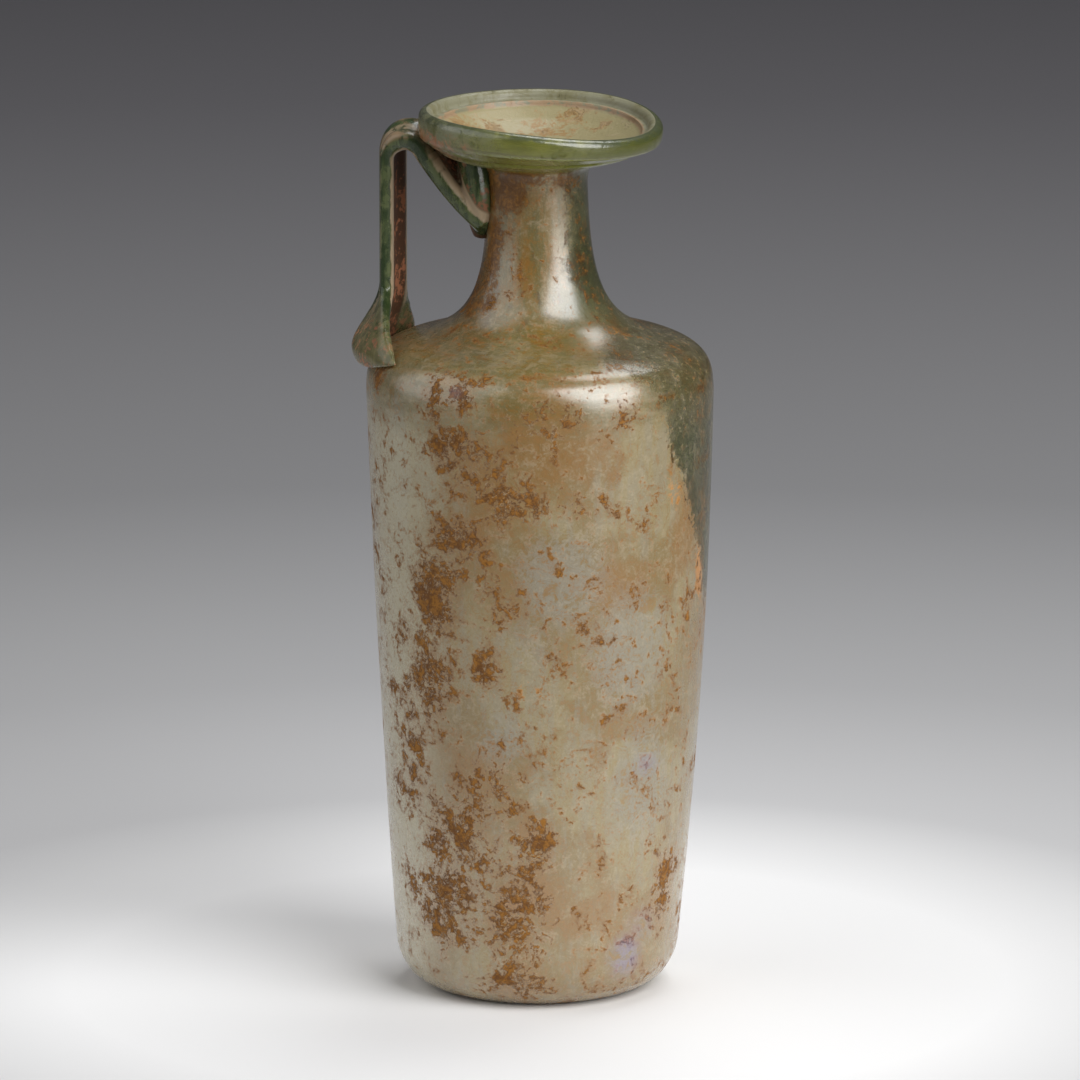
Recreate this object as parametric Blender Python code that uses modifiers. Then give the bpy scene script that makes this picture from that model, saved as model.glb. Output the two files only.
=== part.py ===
"""Free-blown glass flask with a folded, dished rim and one ribbed strap handle.

Metres, +Z up. The origin is the middle of the flat underside. The handle stands
on the -X side, from the shoulder up to the neck under the rim.
"""

from math import asin, atan2, cos, hypot, pi, radians, sin, sqrt

import bmesh
import bpy
from mathutils import Matrix, Vector
from mathutils.geometry import interpolate_bezier

# Tall body: its outline rises from the foot to the widest ring
FOOT_RADIUS = 0.0319
HEEL_RADIUS = 0.0113
BODY_RADIUS = 0.0390
BODY_WIDEST_HEIGHT = 0.1361
BODY_SWELL = 0.0010
BODY_LEAN = 0.0009

# Shoulder, and the concave sweep from it into the neck
SHOULDER_INSET = 0.0108
SHOULDER_RISE = 0.0126
SHOULDER_SLOPE = radians(15)
SHOULDER_FULLNESS = 0.0070
SHOULDER_REACH = 0.0100
SWEEP_START = 0.0133
SWEEP_END = 0.0252
NECK_RADIUS = 0.0114
NECK_RISE = 0.0353
SHOULDER_RADIUS = BODY_RADIUS - SHOULDER_INSET
SHOULDER_HEIGHT = BODY_WIDEST_HEIGHT + SHOULDER_RISE
NECK_HEIGHT = SHOULDER_HEIGHT + NECK_RISE

# Dish of the rim: a flat bottom, a cone, and an upright folded band
RIM_RADIUS = 0.0272
RIM_RISE = 0.0158
LIP_THICKNESS = 0.0031
BAND_INSET = 0.0007
BAND_RISE = 0.0097
CONE_FOOT_INSET = 0.0060
CONE_FOOT_RISE = 0.0058
DISH_BOTTOM_REACH = 0.0046
DISH_BOTTOM_RISE = 0.0045
DISH_FLOOR_REACH = 0.0011
DISH_FLOOR_LIFT = 0.0026
FOLD_INSET = 0.0046
FOLD_DEPTH = 0.0030
FOLD_STEP = 0.0006
NECK_FLARE_SHARE = 0.8
DISH_ROUNDING_SHARE = 0.3
BORE_ROUNDING_SHARE = 0.3
RIM_HEIGHT = NECK_HEIGHT + RIM_RISE
BAND_RADIUS = RIM_RADIUS - BAND_INSET
BAND_HEIGHT = NECK_HEIGHT + BAND_RISE
CONE_FOOT_RADIUS = RIM_RADIUS - CONE_FOOT_INSET
CONE_FOOT_HEIGHT = NECK_HEIGHT + CONE_FOOT_RISE
DISH_BOTTOM_RADIUS = NECK_RADIUS + DISH_BOTTOM_REACH
DISH_BOTTOM_HEIGHT = NECK_HEIGHT + DISH_BOTTOM_RISE
DISH_FLOOR_RADIUS = NECK_RADIUS + DISH_FLOOR_REACH
DISH_FLOOR_HEIGHT = DISH_BOTTOM_HEIGHT + DISH_FLOOR_LIFT
FOLD_RADIUS = RIM_RADIUS - FOLD_INSET
FOLD_HEIGHT = RIM_HEIGHT - FOLD_DEPTH

# The rim sags on one side, as the hot glass was left
RIM_SAG = 0.0038
RIM_SAG_DIRECTION = radians(-18)
RIM_SAG_SHARPNESS = 3.0

# Walls of the hollow vessel
BASE_WALL = 0.0035
BODY_WALL = 0.0017
SHOULDER_WALL = 0.0020
NECK_WALL = 0.0021

# Strap handle: its path seen from the side, as distances from the axis and heights,
# set from the shoulder that its foot is on and from the neck that its end is on
FOOT_END_INSET = 0.0006
FOOT_END_DROP = 0.0073
FOOT_SWELL_REACH = 0.0022
FOOT_SWELL_DROP = 0.0009
LEG_STAND_OFF = 0.0059
LEG_LIFT = 0.0103
BEND_LIFT = 0.0040
BEND_RADIUS = 0.0054
BEND_TURN = radians(138)
FALL_SAG = 0.0018
FOLD_TIP_DEPTH = 0.0012
FOLD_TIP_DROP = 0.0092
FOOT_END = (BODY_RADIUS - FOOT_END_INSET, SHOULDER_HEIGHT - FOOT_END_DROP)
FOOT_SWELL = (BODY_RADIUS + FOOT_SWELL_REACH, SHOULDER_HEIGHT - FOOT_SWELL_DROP)
FOLD_TIP = (NECK_RADIUS - FOLD_TIP_DEPTH, NECK_HEIGHT - FOLD_TIP_DROP)
LEG_DISTANCE = SHOULDER_RADIUS + LEG_STAND_OFF
LEG_BOTTOM_HEIGHT = SHOULDER_HEIGHT + LEG_LIFT
BEND_HEIGHT = NECK_HEIGHT + BEND_LIFT

# Strap handle: half widths and thicknesses along that path, and its arched section
STRAP_HALF_WIDTH = 0.0076
STRAP_ARCH = 0.0014
SECTION_WIDTH_POWER = 0.8
SECTION_DEPTH_POWER = 0.6
STRAP_THICKNESS = 0.0044
BEND_THICKNESS = 0.0062
TIP_THICKNESS = 0.0056
RIB_DEPTH = 0.0009

# Strap handle: the foot spreads, wraps round the shoulder and stands a little to one side
FOOT_HALF_WIDTH = 0.0222
FOOT_EDGE_REACH = 0.0006
FOOT_THICKNESS = 0.0066
FOOT_LIFT = 0.0040
FOOT_TURN = radians(9)
FOOT_THINNING = 0.35
FOOT_ROUNDING = 0.45
FOOT_FLARE = 1.3
FOOT_RISE_SHARE = 0.6
FOOT_EDGE_DISTANCE = SHOULDER_RADIUS + FOOT_EDGE_REACH

# Returned end of the strap, pressed up along the neck under the dish
RETURN_BOTTOM_DEPTH = 0.0001
RETURN_BOTTOM_DROP = 0.0134
RETURN_TOP_REACH = 0.0026
RETURN_TOP_RISE = 0.0060
RETURN_HALF_WIDTH = 0.0082
RETURN_BOTTOM_THICKNESS = 0.0030
RETURN_THICKNESS = 0.0066
RETURN_BOTTOM_FULLNESS = 0.15
RETURN_FILLING = 1.6
RETURN_THINNING = 0.5
RETURN_BOTTOM = (NECK_RADIUS - RETURN_BOTTOM_DEPTH, NECK_HEIGHT - RETURN_BOTTOM_DROP)
RETURN_TOP = (NECK_RADIUS + RETURN_TOP_REACH, NECK_HEIGHT + RETURN_TOP_RISE)

# Gap between the vessel and the handle that is fused to it
FUSED_GAP = 0.0003

# Glass of the two pieces: colour, roughness and how much light goes through
VESSEL_COLOR = (0.56, 0.50, 0.36)
VESSEL_ROUGHNESS = 0.45
VESSEL_TRANSMISSION = 0.2
HANDLE_COLOR = (0.17, 0.25, 0.14)
HANDLE_ROUGHNESS = 0.25
HANDLE_TRANSMISSION = 0.3
GLASS_IOR = 1.5

# How finely the round shapes are divided
HEEL_POINTS = 7
SIDE_SPANS = 7
CORNER_POINTS = 8
SWEEP_POINTS = 11
UNDER_DISH_POINTS = 5
LIP_POINTS = 4
BORE_POINTS = 4
TURN_STEPS = 48
STRAP_SIDES = 24
LEG_STATIONS = 4
BEND_STATIONS = 8
FALL_STATIONS = 7
FOOT_STATIONS = 8
RETURN_SIDES = 20
RETURN_STATIONS = 7
SMOOTH_ANGLE = radians(50)
MERGE_DISTANCE = 0.00005

PARTS_COLLECTION = "Perfume flask"
GUIDES_COLLECTION = "Flask cutters"


def clear_scene():
    """Remove every object and collection that the open file holds."""
    for existing in list(bpy.data.objects):
        bpy.data.objects.remove(existing, do_unlink=True)
    for collection in list(bpy.data.collections):
        bpy.data.collections.remove(collection)


def add_collection(name):
    """Return a new collection of that name, linked to the scene."""
    collection = bpy.data.collections.new(name)
    bpy.context.scene.collection.children.link(collection)
    return collection


def make_material(name, color, roughness, transmission):
    """Return a glass finish for one piece."""
    material = bpy.data.materials.new(name)
    material.use_nodes = True
    shader = material.node_tree.nodes["Principled BSDF"]
    shader.inputs["Base Color"].default_value = (*color, 1.0)
    shader.inputs["Roughness"].default_value = roughness
    shader.inputs["Metallic"].default_value = 0.0
    shader.inputs["Transmission Weight"].default_value = transmission
    shader.inputs["IOR"].default_value = GLASS_IOR
    return material


def bezier(start, start_handle, end_handle, end, count):
    """Return count points on a flat cubic curve, both ends included."""
    knots = [Vector((point[0], point[1], 0)) for point in (start, start_handle, end_handle, end)]
    return [(point.x, point.y) for point in interpolate_bezier(*knots, count)]


def arc(center, radius, first_angle, last_angle, count):
    """Return count points on a flat arc, both ends included."""
    angles = [first_angle + (last_angle - first_angle) * i / (count - 1) for i in range(count)]
    return [(center[0] + radius * cos(a), center[1] + radius * sin(a)) for a in angles]


def blend(low, high, share):
    """Return the value at a share of the way from low to high."""
    return low + (high - low) * share


def smooth_step(value, low, high):
    """Return 0 below low, 1 above high, and an even S-curve between them."""
    share = min(max((value - low) / (high - low), 0.0), 1.0)
    return share * share * (3 - 2 * share)


def body_outline():
    """Return the outline from the underside's centre up to the widest ring."""
    side_angle = -atan2(BODY_RADIUS - FOOT_RADIUS, BODY_WIDEST_HEIGHT - HEEL_RADIUS)
    heel = arc((FOOT_RADIUS - HEEL_RADIUS, HEEL_RADIUS), HEEL_RADIUS, -pi / 2, side_angle, HEEL_POINTS)
    side = []
    for i in range(1, SIDE_SPANS):
        share = i / SIDE_SPANS
        swell = 4 * BODY_SWELL * share * (1 - share)
        radius = blend(heel[-1][0], BODY_RADIUS, share) + swell
        side.append((radius, blend(heel[-1][1], BODY_WIDEST_HEIGHT, share)))
    return [(0.0, 0.0)] + heel + side


def shoulder_outline():
    """Return the outline from the widest ring to the top of the neck."""
    widest = (BODY_RADIUS, BODY_WIDEST_HEIGHT)
    above_widest = (BODY_RADIUS, BODY_WIDEST_HEIGHT + SHOULDER_FULLNESS)
    shoulder = (SHOULDER_RADIUS, SHOULDER_HEIGHT)
    run = cos(SHOULDER_SLOPE)
    rise = sin(SHOULDER_SLOPE)
    before = (SHOULDER_RADIUS + SHOULDER_REACH * run, SHOULDER_HEIGHT - SHOULDER_REACH * rise)
    after = (SHOULDER_RADIUS - SWEEP_START * run, SHOULDER_HEIGHT + SWEEP_START * rise)
    neck = (NECK_RADIUS, NECK_HEIGHT)
    below_neck = (NECK_RADIUS, NECK_HEIGHT - SWEEP_END)
    corner = bezier(widest, above_widest, before, shoulder, CORNER_POINTS)
    sweep = bezier(shoulder, after, below_neck, neck, SWEEP_POINTS)
    return corner + sweep[1:]


def lip_quarter(first_angle, last_angle):
    """Return the outline of a quarter of the rounded lip."""
    center = (RIM_RADIUS - LIP_THICKNESS / 2, RIM_HEIGHT - LIP_THICKNESS / 2)
    return arc(center, LIP_THICKNESS / 2, first_angle, last_angle, LIP_POINTS)


def dish_outline():
    """Return the outline from the neck, under the dish, to the lip's crest."""
    neck = (NECK_RADIUS, NECK_HEIGHT)
    above_neck = (NECK_RADIUS, blend(NECK_HEIGHT, DISH_BOTTOM_HEIGHT, NECK_FLARE_SHARE))
    bottom = (DISH_BOTTOM_RADIUS, DISH_BOTTOM_HEIGHT)
    rounding = blend(NECK_RADIUS, DISH_BOTTOM_RADIUS, DISH_ROUNDING_SHARE)
    before_bottom = (rounding, DISH_BOTTOM_HEIGHT)
    under = bezier(neck, above_neck, before_bottom, bottom, UNDER_DISH_POINTS)[1:]
    cone = [(CONE_FOOT_RADIUS, CONE_FOOT_HEIGHT), (BAND_RADIUS, BAND_HEIGHT)]
    return under + cone + lip_quarter(0.0, pi / 2)


def dish_lining():
    """Return the inside of the dish, from beside the lip's crest to the bore."""
    lip = lip_quarter(pi / 2, pi)[1:]
    fold = [
        (FOLD_RADIUS, FOLD_HEIGHT),
        (FOLD_RADIUS + FOLD_STEP / 2, FOLD_HEIGHT - FOLD_STEP),
    ]
    floor = (DISH_FLOOR_RADIUS, DISH_FLOOR_HEIGHT)
    bore_radius = NECK_RADIUS - NECK_WALL
    bore = (bore_radius, blend(NECK_HEIGHT, DISH_FLOOR_HEIGHT, BORE_ROUNDING_SHARE))
    bore_corner = (bore_radius, DISH_FLOOR_HEIGHT - NECK_WALL / 2)
    return lip + fold + bezier(floor, bore_corner, bore_corner, bore, BORE_POINTS)


def wall_at(height):
    """Return the wall's thickness at a height on the outside."""
    levels = (
        (HEEL_RADIUS, BASE_WALL, BODY_WALL),
        (SHOULDER_HEIGHT - BODY_WIDEST_HEIGHT, BODY_WALL, SHOULDER_WALL),
        (NECK_HEIGHT - SHOULDER_HEIGHT, SHOULDER_WALL, NECK_WALL),
    )
    tops = (2 * HEEL_RADIUS, SHOULDER_HEIGHT, NECK_HEIGHT)
    for (span, low_wall, high_wall), top in zip(levels, tops):
        if height <= top:
            return blend(low_wall, high_wall, smooth_step(height, top - span, top))
    return NECK_WALL


def offset_outline(points, distance_at):
    """Return the outline moved to its left by distance_at(height) at each point."""
    moved = []
    for i, (radius, height) in enumerate(points):
        before = points[max(i - 1, 0)]
        after = points[min(i + 1, len(points) - 1)]
        run = after[0] - before[0]
        rise = after[1] - before[1]
        length = hypot(run, rise)
        distance = distance_at(height)
        moved.append((radius - distance * rise / length, height + distance * run / length))
    return moved


def vessel_section():
    """Return the wall's section from the inner floor over the lip to the underside."""
    body = body_outline()
    outside = body + shoulder_outline()[1:]
    inside = offset_outline(outside[2:], wall_at)
    inner_floor = [(0.0, BASE_WALL)]
    return inner_floor + inside + dish_lining()[::-1] + (outside + dish_outline())[::-1]


def grown_section():
    """Return the filled outer form of the vessel, grown by the fused gap."""
    outside = body_outline() + shoulder_outline()[1:] + dish_outline()
    grown = offset_outline(outside[1:], lambda height: -FUSED_GAP)
    top = (0.0, grown[-1][1])
    bottom = (0.0, grown[0][1])
    return [top] + grown[::-1] + [bottom]


def lean_at(height):
    """Return how far the vessel's axis stands off along +X at a height."""
    body_share = sin(pi * min(height / NECK_HEIGHT, 1.0))
    rim_share = smooth_step(height, NECK_HEIGHT, RIM_HEIGHT)
    return BODY_LEAN * (body_share + rim_share)


def sag_at(x, y, height):
    """Return how far the rim drops at a point of the dish."""
    away = atan2(y, x) - RIM_SAG_DIRECTION
    share = ((1 + cos(away)) / 2) ** RIM_SAG_SHARPNESS
    reach = min(hypot(x, y) / RIM_RADIUS, 1.0)
    return RIM_SAG * share * reach * smooth_step(height, DISH_BOTTOM_HEIGHT, RIM_HEIGHT)


def warp(mesh):
    """Give the turned form its lean and its sagging rim."""
    for vertex in mesh.vertices:
        x, y, z = vertex.co
        vertex.co = (x + lean_at(z), y, z - sag_at(x, y, z))


def turn(name, section, collection):
    """Return a solid of revolution from a section that ends on the axis."""
    profile = bpy.data.meshes.new(name + " profile")
    points = [(radius, 0.0, height) for radius, height in section]
    edges = [(i, i + 1) for i in range(len(points) - 1)]
    profile.from_pydata(points, edges, [])
    turned = bpy.data.objects.new(name + " turned", profile)
    collection.objects.link(turned)
    screw = turned.modifiers.new("Turn", "SCREW")
    screw.axis = "Z"
    screw.angle = 2 * pi
    screw.steps = TURN_STEPS
    screw.render_steps = TURN_STEPS
    screw.use_merge_vertices = True
    screw.merge_threshold = MERGE_DISTANCE
    screw.use_smooth_shade = True
    return freeze(turned, name, collection)


def freeze(source, name, collection):
    """Replace an object with its evaluated mesh under a new name."""
    bpy.context.view_layer.update()
    evaluated = source.evaluated_get(bpy.context.evaluated_depsgraph_get())
    mesh = bpy.data.meshes.new_from_object(evaluated)
    mesh.name = name
    bpy.data.objects.remove(source, do_unlink=True)
    solid = bpy.data.objects.new(name, mesh)
    collection.objects.link(solid)
    return solid


def bar_outline(half_width, thickness, sides, rib_depth, thinning):
    """Return a ribbed bar's section as (sideways, outward) points.

    The outer face has a rib on each edge and one in the middle, and thinning is
    the share of the thickness that is lost at the edges.
    """
    outline = []
    for i in range(sides):
        angle = 2 * pi * i / sides
        across = cos(angle)
        out = sin(angle)
        sideways = half_width * (1 if across >= 0 else -1) * abs(across) ** SECTION_WIDTH_POWER
        outward = thickness / 2 * (1 if out >= 0 else -1) * abs(out) ** SECTION_DEPTH_POWER
        share = sideways / half_width
        if out > 0:
            outward -= rib_depth * sin(pi * share) ** 2
        outline.append((sideways, outward * (1 - thinning * share * share)))
    return outline


def place_on_arch(distance, height, normal, sideways, outward, arch_radius):
    """Return a bar point in space, its section arched round a centre inside the bar."""
    radial = arch_radius + outward
    arch_angle = sideways / arch_radius
    away = radial * cos(arch_angle) - arch_radius
    return Vector((
        -(distance + away * normal[0]),
        radial * sin(arch_angle),
        height + away * normal[1],
    ))


def loft(name, rings, collection):
    """Return a closed solid through rings of points, with strips across each end."""
    shape = bmesh.new()
    loops = [[shape.verts.new(point) for point in ring] for ring in rings]
    sides = len(loops[0])
    for lower, upper in zip(loops, loops[1:]):
        for i in range(sides):
            following = (i + 1) % sides
            shape.faces.new((lower[i], lower[following], upper[following], upper[i]))
    for loop in (loops[0], loops[-1]):
        shape.faces.new((loop[0], loop[1], loop[-1]))
        for i in range(1, sides // 2 - 1):
            shape.faces.new((loop[i], loop[i + 1], loop[sides - i - 1], loop[sides - i]))
        middle = sides // 2
        shape.faces.new((loop[middle - 1], loop[middle], loop[middle + 1]))
    bmesh.ops.recalc_face_normals(shape, faces=shape.faces[:])
    mesh = bpy.data.meshes.new(name)
    shape.to_mesh(mesh)
    shape.free()
    solid = bpy.data.objects.new(name, mesh)
    collection.objects.link(solid)
    return solid


def strap_path():
    """Return the strap's stations from the foot to the fold tip.

    Each is (distance, height, foot share, bend share, tip share), the shares
    saying how much of the foot's, the bend's and the tip's form it has.
    """
    leg_bottom = (LEG_DISTANCE, LEG_BOTTOM_HEIGHT)
    below_leg = (LEG_DISTANCE, blend(LEG_BOTTOM_HEIGHT, FOOT_SWELL[1], FOOT_RISE_SHARE))
    foot = bezier(FOOT_END, FOOT_SWELL, below_leg, leg_bottom, FOOT_STATIONS)
    bend_center = (LEG_DISTANCE - BEND_RADIUS, BEND_HEIGHT)
    bend = arc(bend_center, BEND_RADIUS, 0.0, BEND_TURN, BEND_STATIONS)
    reach = hypot(bend[-1][0] - FOLD_TIP[0], bend[-1][1] - FOLD_TIP[1]) / 3
    along = (-sin(BEND_TURN) * reach, cos(BEND_TURN) * reach)
    after_bend = (bend[-1][0] + along[0], bend[-1][1] + along[1] - FALL_SAG)
    before_tip = (FOLD_TIP[0] - along[0], FOLD_TIP[1] - along[1] - FALL_SAG)
    fall = bezier(bend[-1], after_bend, before_tip, FOLD_TIP, FALL_STATIONS)
    stations = []
    for i, (distance, height) in enumerate(foot):
        share = 1 - i / (FOOT_STATIONS - 1)
        stations.append((distance, height, share, 0.0, 0.0))
    for i in range(1, LEG_STATIONS):
        height = blend(LEG_BOTTOM_HEIGHT, BEND_HEIGHT, i / LEG_STATIONS)
        stations.append((LEG_DISTANCE, height, 0.0, 0.0, 0.0))
    for i, (distance, height) in enumerate(bend):
        share = min(2 * i / (BEND_STATIONS - 1), 1.0)
        stations.append((distance, height, 0.0, share, 0.0))
    for i, (distance, height) in enumerate(fall[1:], 1):
        share = i / (FALL_STATIONS - 1)
        stations.append((distance, height, 0.0, 1 - share, share))
    return stations


def station_normal(stations, index):
    """Return the strap's outward direction at a station, as (away, up)."""
    if stations[index][2] > 0:
        return (1.0, 0.0)
    before = stations[index - 1]
    after = stations[min(index + 1, len(stations) - 1)]
    away = after[0] - before[0]
    up = after[1] - before[1]
    length = hypot(away, up)
    return (up / length, -away / length)


def strap_thickness(foot, bend, tip):
    """Return the strap's thickness where it has these shares of its special forms."""
    thickness = STRAP_THICKNESS
    thickness += (FOOT_THICKNESS - STRAP_THICKNESS) * smooth_step(foot, 0, 1)
    thickness += (BEND_THICKNESS - STRAP_THICKNESS) * smooth_step(bend, 0, 1)
    thickness += (TIP_THICKNESS - STRAP_THICKNESS) * smooth_step(tip, 0, 1)
    return thickness


def strap_rings():
    """Return the rings of the strap, with the foot spread and wrapped on the shoulder."""
    stations = strap_path()
    rings = []
    for index, (distance, height, foot, bend, tip) in enumerate(stations):
        normal = station_normal(stations, index)
        rounding = smooth_step(foot, 1 - 2 / FOOT_STATIONS, 1)
        thickness = strap_thickness(foot, bend, tip) * (1 - FOOT_ROUNDING * rounding)
        spread = foot ** FOOT_FLARE
        half_chord = blend(STRAP_HALF_WIDTH, FOOT_HALF_WIDTH, spread)
        edge_distance = blend(LEG_DISTANCE - STRAP_ARCH, FOOT_EDGE_DISTANCE, spread)
        drop = distance - edge_distance if foot > 0 else STRAP_ARCH
        arch_radius = (drop * drop + half_chord * half_chord) / (2 * drop)
        half_width = arch_radius * asin(min(half_chord / arch_radius, 1.0))
        swing = Matrix.Rotation(FOOT_TURN * foot, 3, "Z")
        ring = []
        outline = bar_outline(half_width, thickness, STRAP_SIDES, RIB_DEPTH, FOOT_THINNING * foot)
        for sideways, outward in outline:
            lift = FOOT_LIFT * foot * (sideways / half_width) ** 2
            point = place_on_arch(distance, height + lift, normal, sideways, outward, arch_radius)
            ring.append(swing @ point)
        rings.append(ring)
    return rings


def return_rings():
    """Return the rings of the strap's returned end, wrapped on the neck."""
    rings = []
    for index in range(RETURN_STATIONS):
        share = index / (RETURN_STATIONS - 1)
        distance = blend(RETURN_BOTTOM[0], RETURN_TOP[0], share)
        height = blend(RETURN_BOTTOM[1], RETURN_TOP[1], share)
        filled = min(RETURN_BOTTOM_FULLNESS + RETURN_FILLING * share, 1.0)
        fullness = sqrt(sin(pi / 2 * filled))
        thickness = blend(RETURN_BOTTOM_THICKNESS, RETURN_THICKNESS, fullness)
        half_width = RETURN_HALF_WIDTH * fullness
        outline = bar_outline(half_width, thickness, RETURN_SIDES, 0.0, RETURN_THINNING)
        rings.append([
            place_on_arch(distance, height, (1, 0), sideways, outward, distance)
            for sideways, outward in outline
        ])
    return rings


def add_boolean(target, operand, operation):
    """Combine an object with another by an exact Boolean modifier."""
    modifier = target.modifiers.new(operation.title(), "BOOLEAN")
    modifier.operation = operation
    modifier.solver = "EXACT"
    modifier.object = operand


def mark_guide(guide):
    """Mark an object as a guide that isn't part of the flask."""
    guide.hide_render = True
    guide.display_type = "WIRE"


def build_vessel(parts):
    """Make the blown body, neck and dished rim, one hollow piece of glass."""
    vessel = turn("vessel", vessel_section(), parts)
    warp(vessel.data)
    vessel.data.materials.append(
        make_material("weathered glass", VESSEL_COLOR, VESSEL_ROUGHNESS, VESSEL_TRANSMISSION)
    )
    vessel.data.shade_smooth()
    vessel.data.set_sharp_from_angle(angle=SMOOTH_ANGLE)
    return vessel


def build_handle(parts, guides):
    """Make the strap handle with its returned end, fused on the vessel's form."""
    cutter = turn("vessel form", grown_section(), guides)
    warp(cutter.data)
    mark_guide(cutter)
    returned = loft("returned end", return_rings(), guides)
    mark_guide(returned)
    draft = loft("strap draft", strap_rings(), guides)
    add_boolean(draft, returned, "UNION")
    add_boolean(draft, cutter, "DIFFERENCE")
    handle = freeze(draft, "handle", parts)
    handle.data.materials.clear()
    handle.data.materials.append(
        make_material("green glass", HANDLE_COLOR, HANDLE_ROUGHNESS, HANDLE_TRANSMISSION)
    )
    handle.data.shade_smooth()
    handle.data.set_sharp_from_angle(angle=SMOOTH_ANGLE)
    return handle


def main():
    """Build the flask."""
    clear_scene()
    parts = add_collection(PARTS_COLLECTION)
    guides = add_collection(GUIDES_COLLECTION)
    build_vessel(parts)
    build_handle(parts, guides)


if __name__ == "__main__":
    main()
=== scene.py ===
"""Looks of a free-blown glass flask with a dished rim and one ribbed strap handle.

Metres, +Z up. The handle stands on the -X side. The glass is weathered: a satin film
with rust-brown soil covers most of the body and leaves one clear window in it.
"""

import logging
from dataclasses import dataclass
from enum import Enum
from math import asin, atan2, cos, hypot, pi, radians, sin, sqrt
from typing import Any, Callable, Union

import bmesh
import bpy
from mathutils import Matrix, Vector, noise
from mathutils.geometry import interpolate_bezier


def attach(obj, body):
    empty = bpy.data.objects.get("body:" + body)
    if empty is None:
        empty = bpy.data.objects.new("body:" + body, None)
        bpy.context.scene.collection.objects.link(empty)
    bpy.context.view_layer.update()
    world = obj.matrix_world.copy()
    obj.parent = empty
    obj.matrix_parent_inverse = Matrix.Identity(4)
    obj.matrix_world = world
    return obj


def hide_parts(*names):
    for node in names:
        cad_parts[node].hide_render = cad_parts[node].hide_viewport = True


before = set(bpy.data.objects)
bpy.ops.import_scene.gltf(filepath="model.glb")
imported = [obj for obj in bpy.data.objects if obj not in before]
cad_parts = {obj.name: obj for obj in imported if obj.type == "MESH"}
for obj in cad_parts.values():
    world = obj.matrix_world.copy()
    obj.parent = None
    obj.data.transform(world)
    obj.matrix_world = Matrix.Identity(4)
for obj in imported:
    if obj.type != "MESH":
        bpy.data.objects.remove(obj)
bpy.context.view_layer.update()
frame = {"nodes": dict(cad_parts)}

LOG = logging.getLogger("flask")
# The point attributes of the handle's mesh and of the vessel's.
MARKS = ("across", "outward", "rooted")
RIM_MARKS = ("level", "reach", "lined")
# In degrees, round from the -Y side towards +X.
CAMERA_AZIMUTH = 14
GLASS_IOR = 1.5
# Points of a turned form and of a lofted one that are nearer than this are merged.
TURNED_GAP = 0.000002
LOFT_GAP = 0.000001

Point = tuple[float, float]
Color = tuple[float, float, float]
Value = Union["Wire", float, tuple]


def blend(low: float, high: float, share: float) -> float:
    """Return the value at a share of the way from low to high."""
    return low + (high - low) * share


def smooth_step(value: float, low: float, high: float) -> float:
    """Return 0 below low, 1 above high, and an even S-curve between them."""
    share = min(max((value - low) / (high - low), 0.0), 1.0)
    return share * share * (3 - 2 * share)


def bezier(start: Point, pull: Point, end_pull: Point, end: Point, count: int) -> list[Point]:
    """Return count points on a flat cubic curve, both ends included."""
    knots = [Vector((a, b, 0)) for a, b in (start, pull, end_pull, end)]
    return [(point.x, point.y) for point in interpolate_bezier(*knots, count)]


def arc(center: Point, radius: float, first: float, last: float, count: int) -> list[Point]:
    """Return count points on a flat arc from angle first to angle last."""
    angles = [blend(first, last, i / (count - 1)) for i in range(count)]
    return [(center[0] + radius * cos(a), center[1] + radius * sin(a)) for a in angles]


def linear(red: int, green: int, blue: int) -> Color:
    """Return the scene-linear colour of an 8-bit display colour."""
    shares = (red / 255, green / 255, blue / 255)
    return tuple(s / 12.92 if s <= 0.04045 else ((s + 0.055) / 1.055) ** 2.4 for s in shares)


def linked(name: str, data: bpy.types.ID) -> bpy.types.Object:
    """Return a new object with this data, linked to the scene.

    Args:
        name: The object's name.
        data: Its mesh, camera or light.

    Returns:
        The object.
    """
    made = bpy.data.objects.new(name, data)
    bpy.context.scene.collection.objects.link(made)
    return made


def as_object(name: str, form: bmesh.types.BMesh) -> bpy.types.Object:
    """Return a new smooth-shaded object with this form, linked to the scene.

    Args:
        name: The object's name.
        form: The form, which is freed.

    Returns:
        The object.
    """
    mesh = bpy.data.meshes.new(name)
    form.to_mesh(mesh)
    form.free()
    mesh.shade_smooth()
    return linked(name, mesh)


class Axis(Enum):
    """One of the three components of a place."""

    X = "X"
    Y = "Y"
    Z = "Z"


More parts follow.
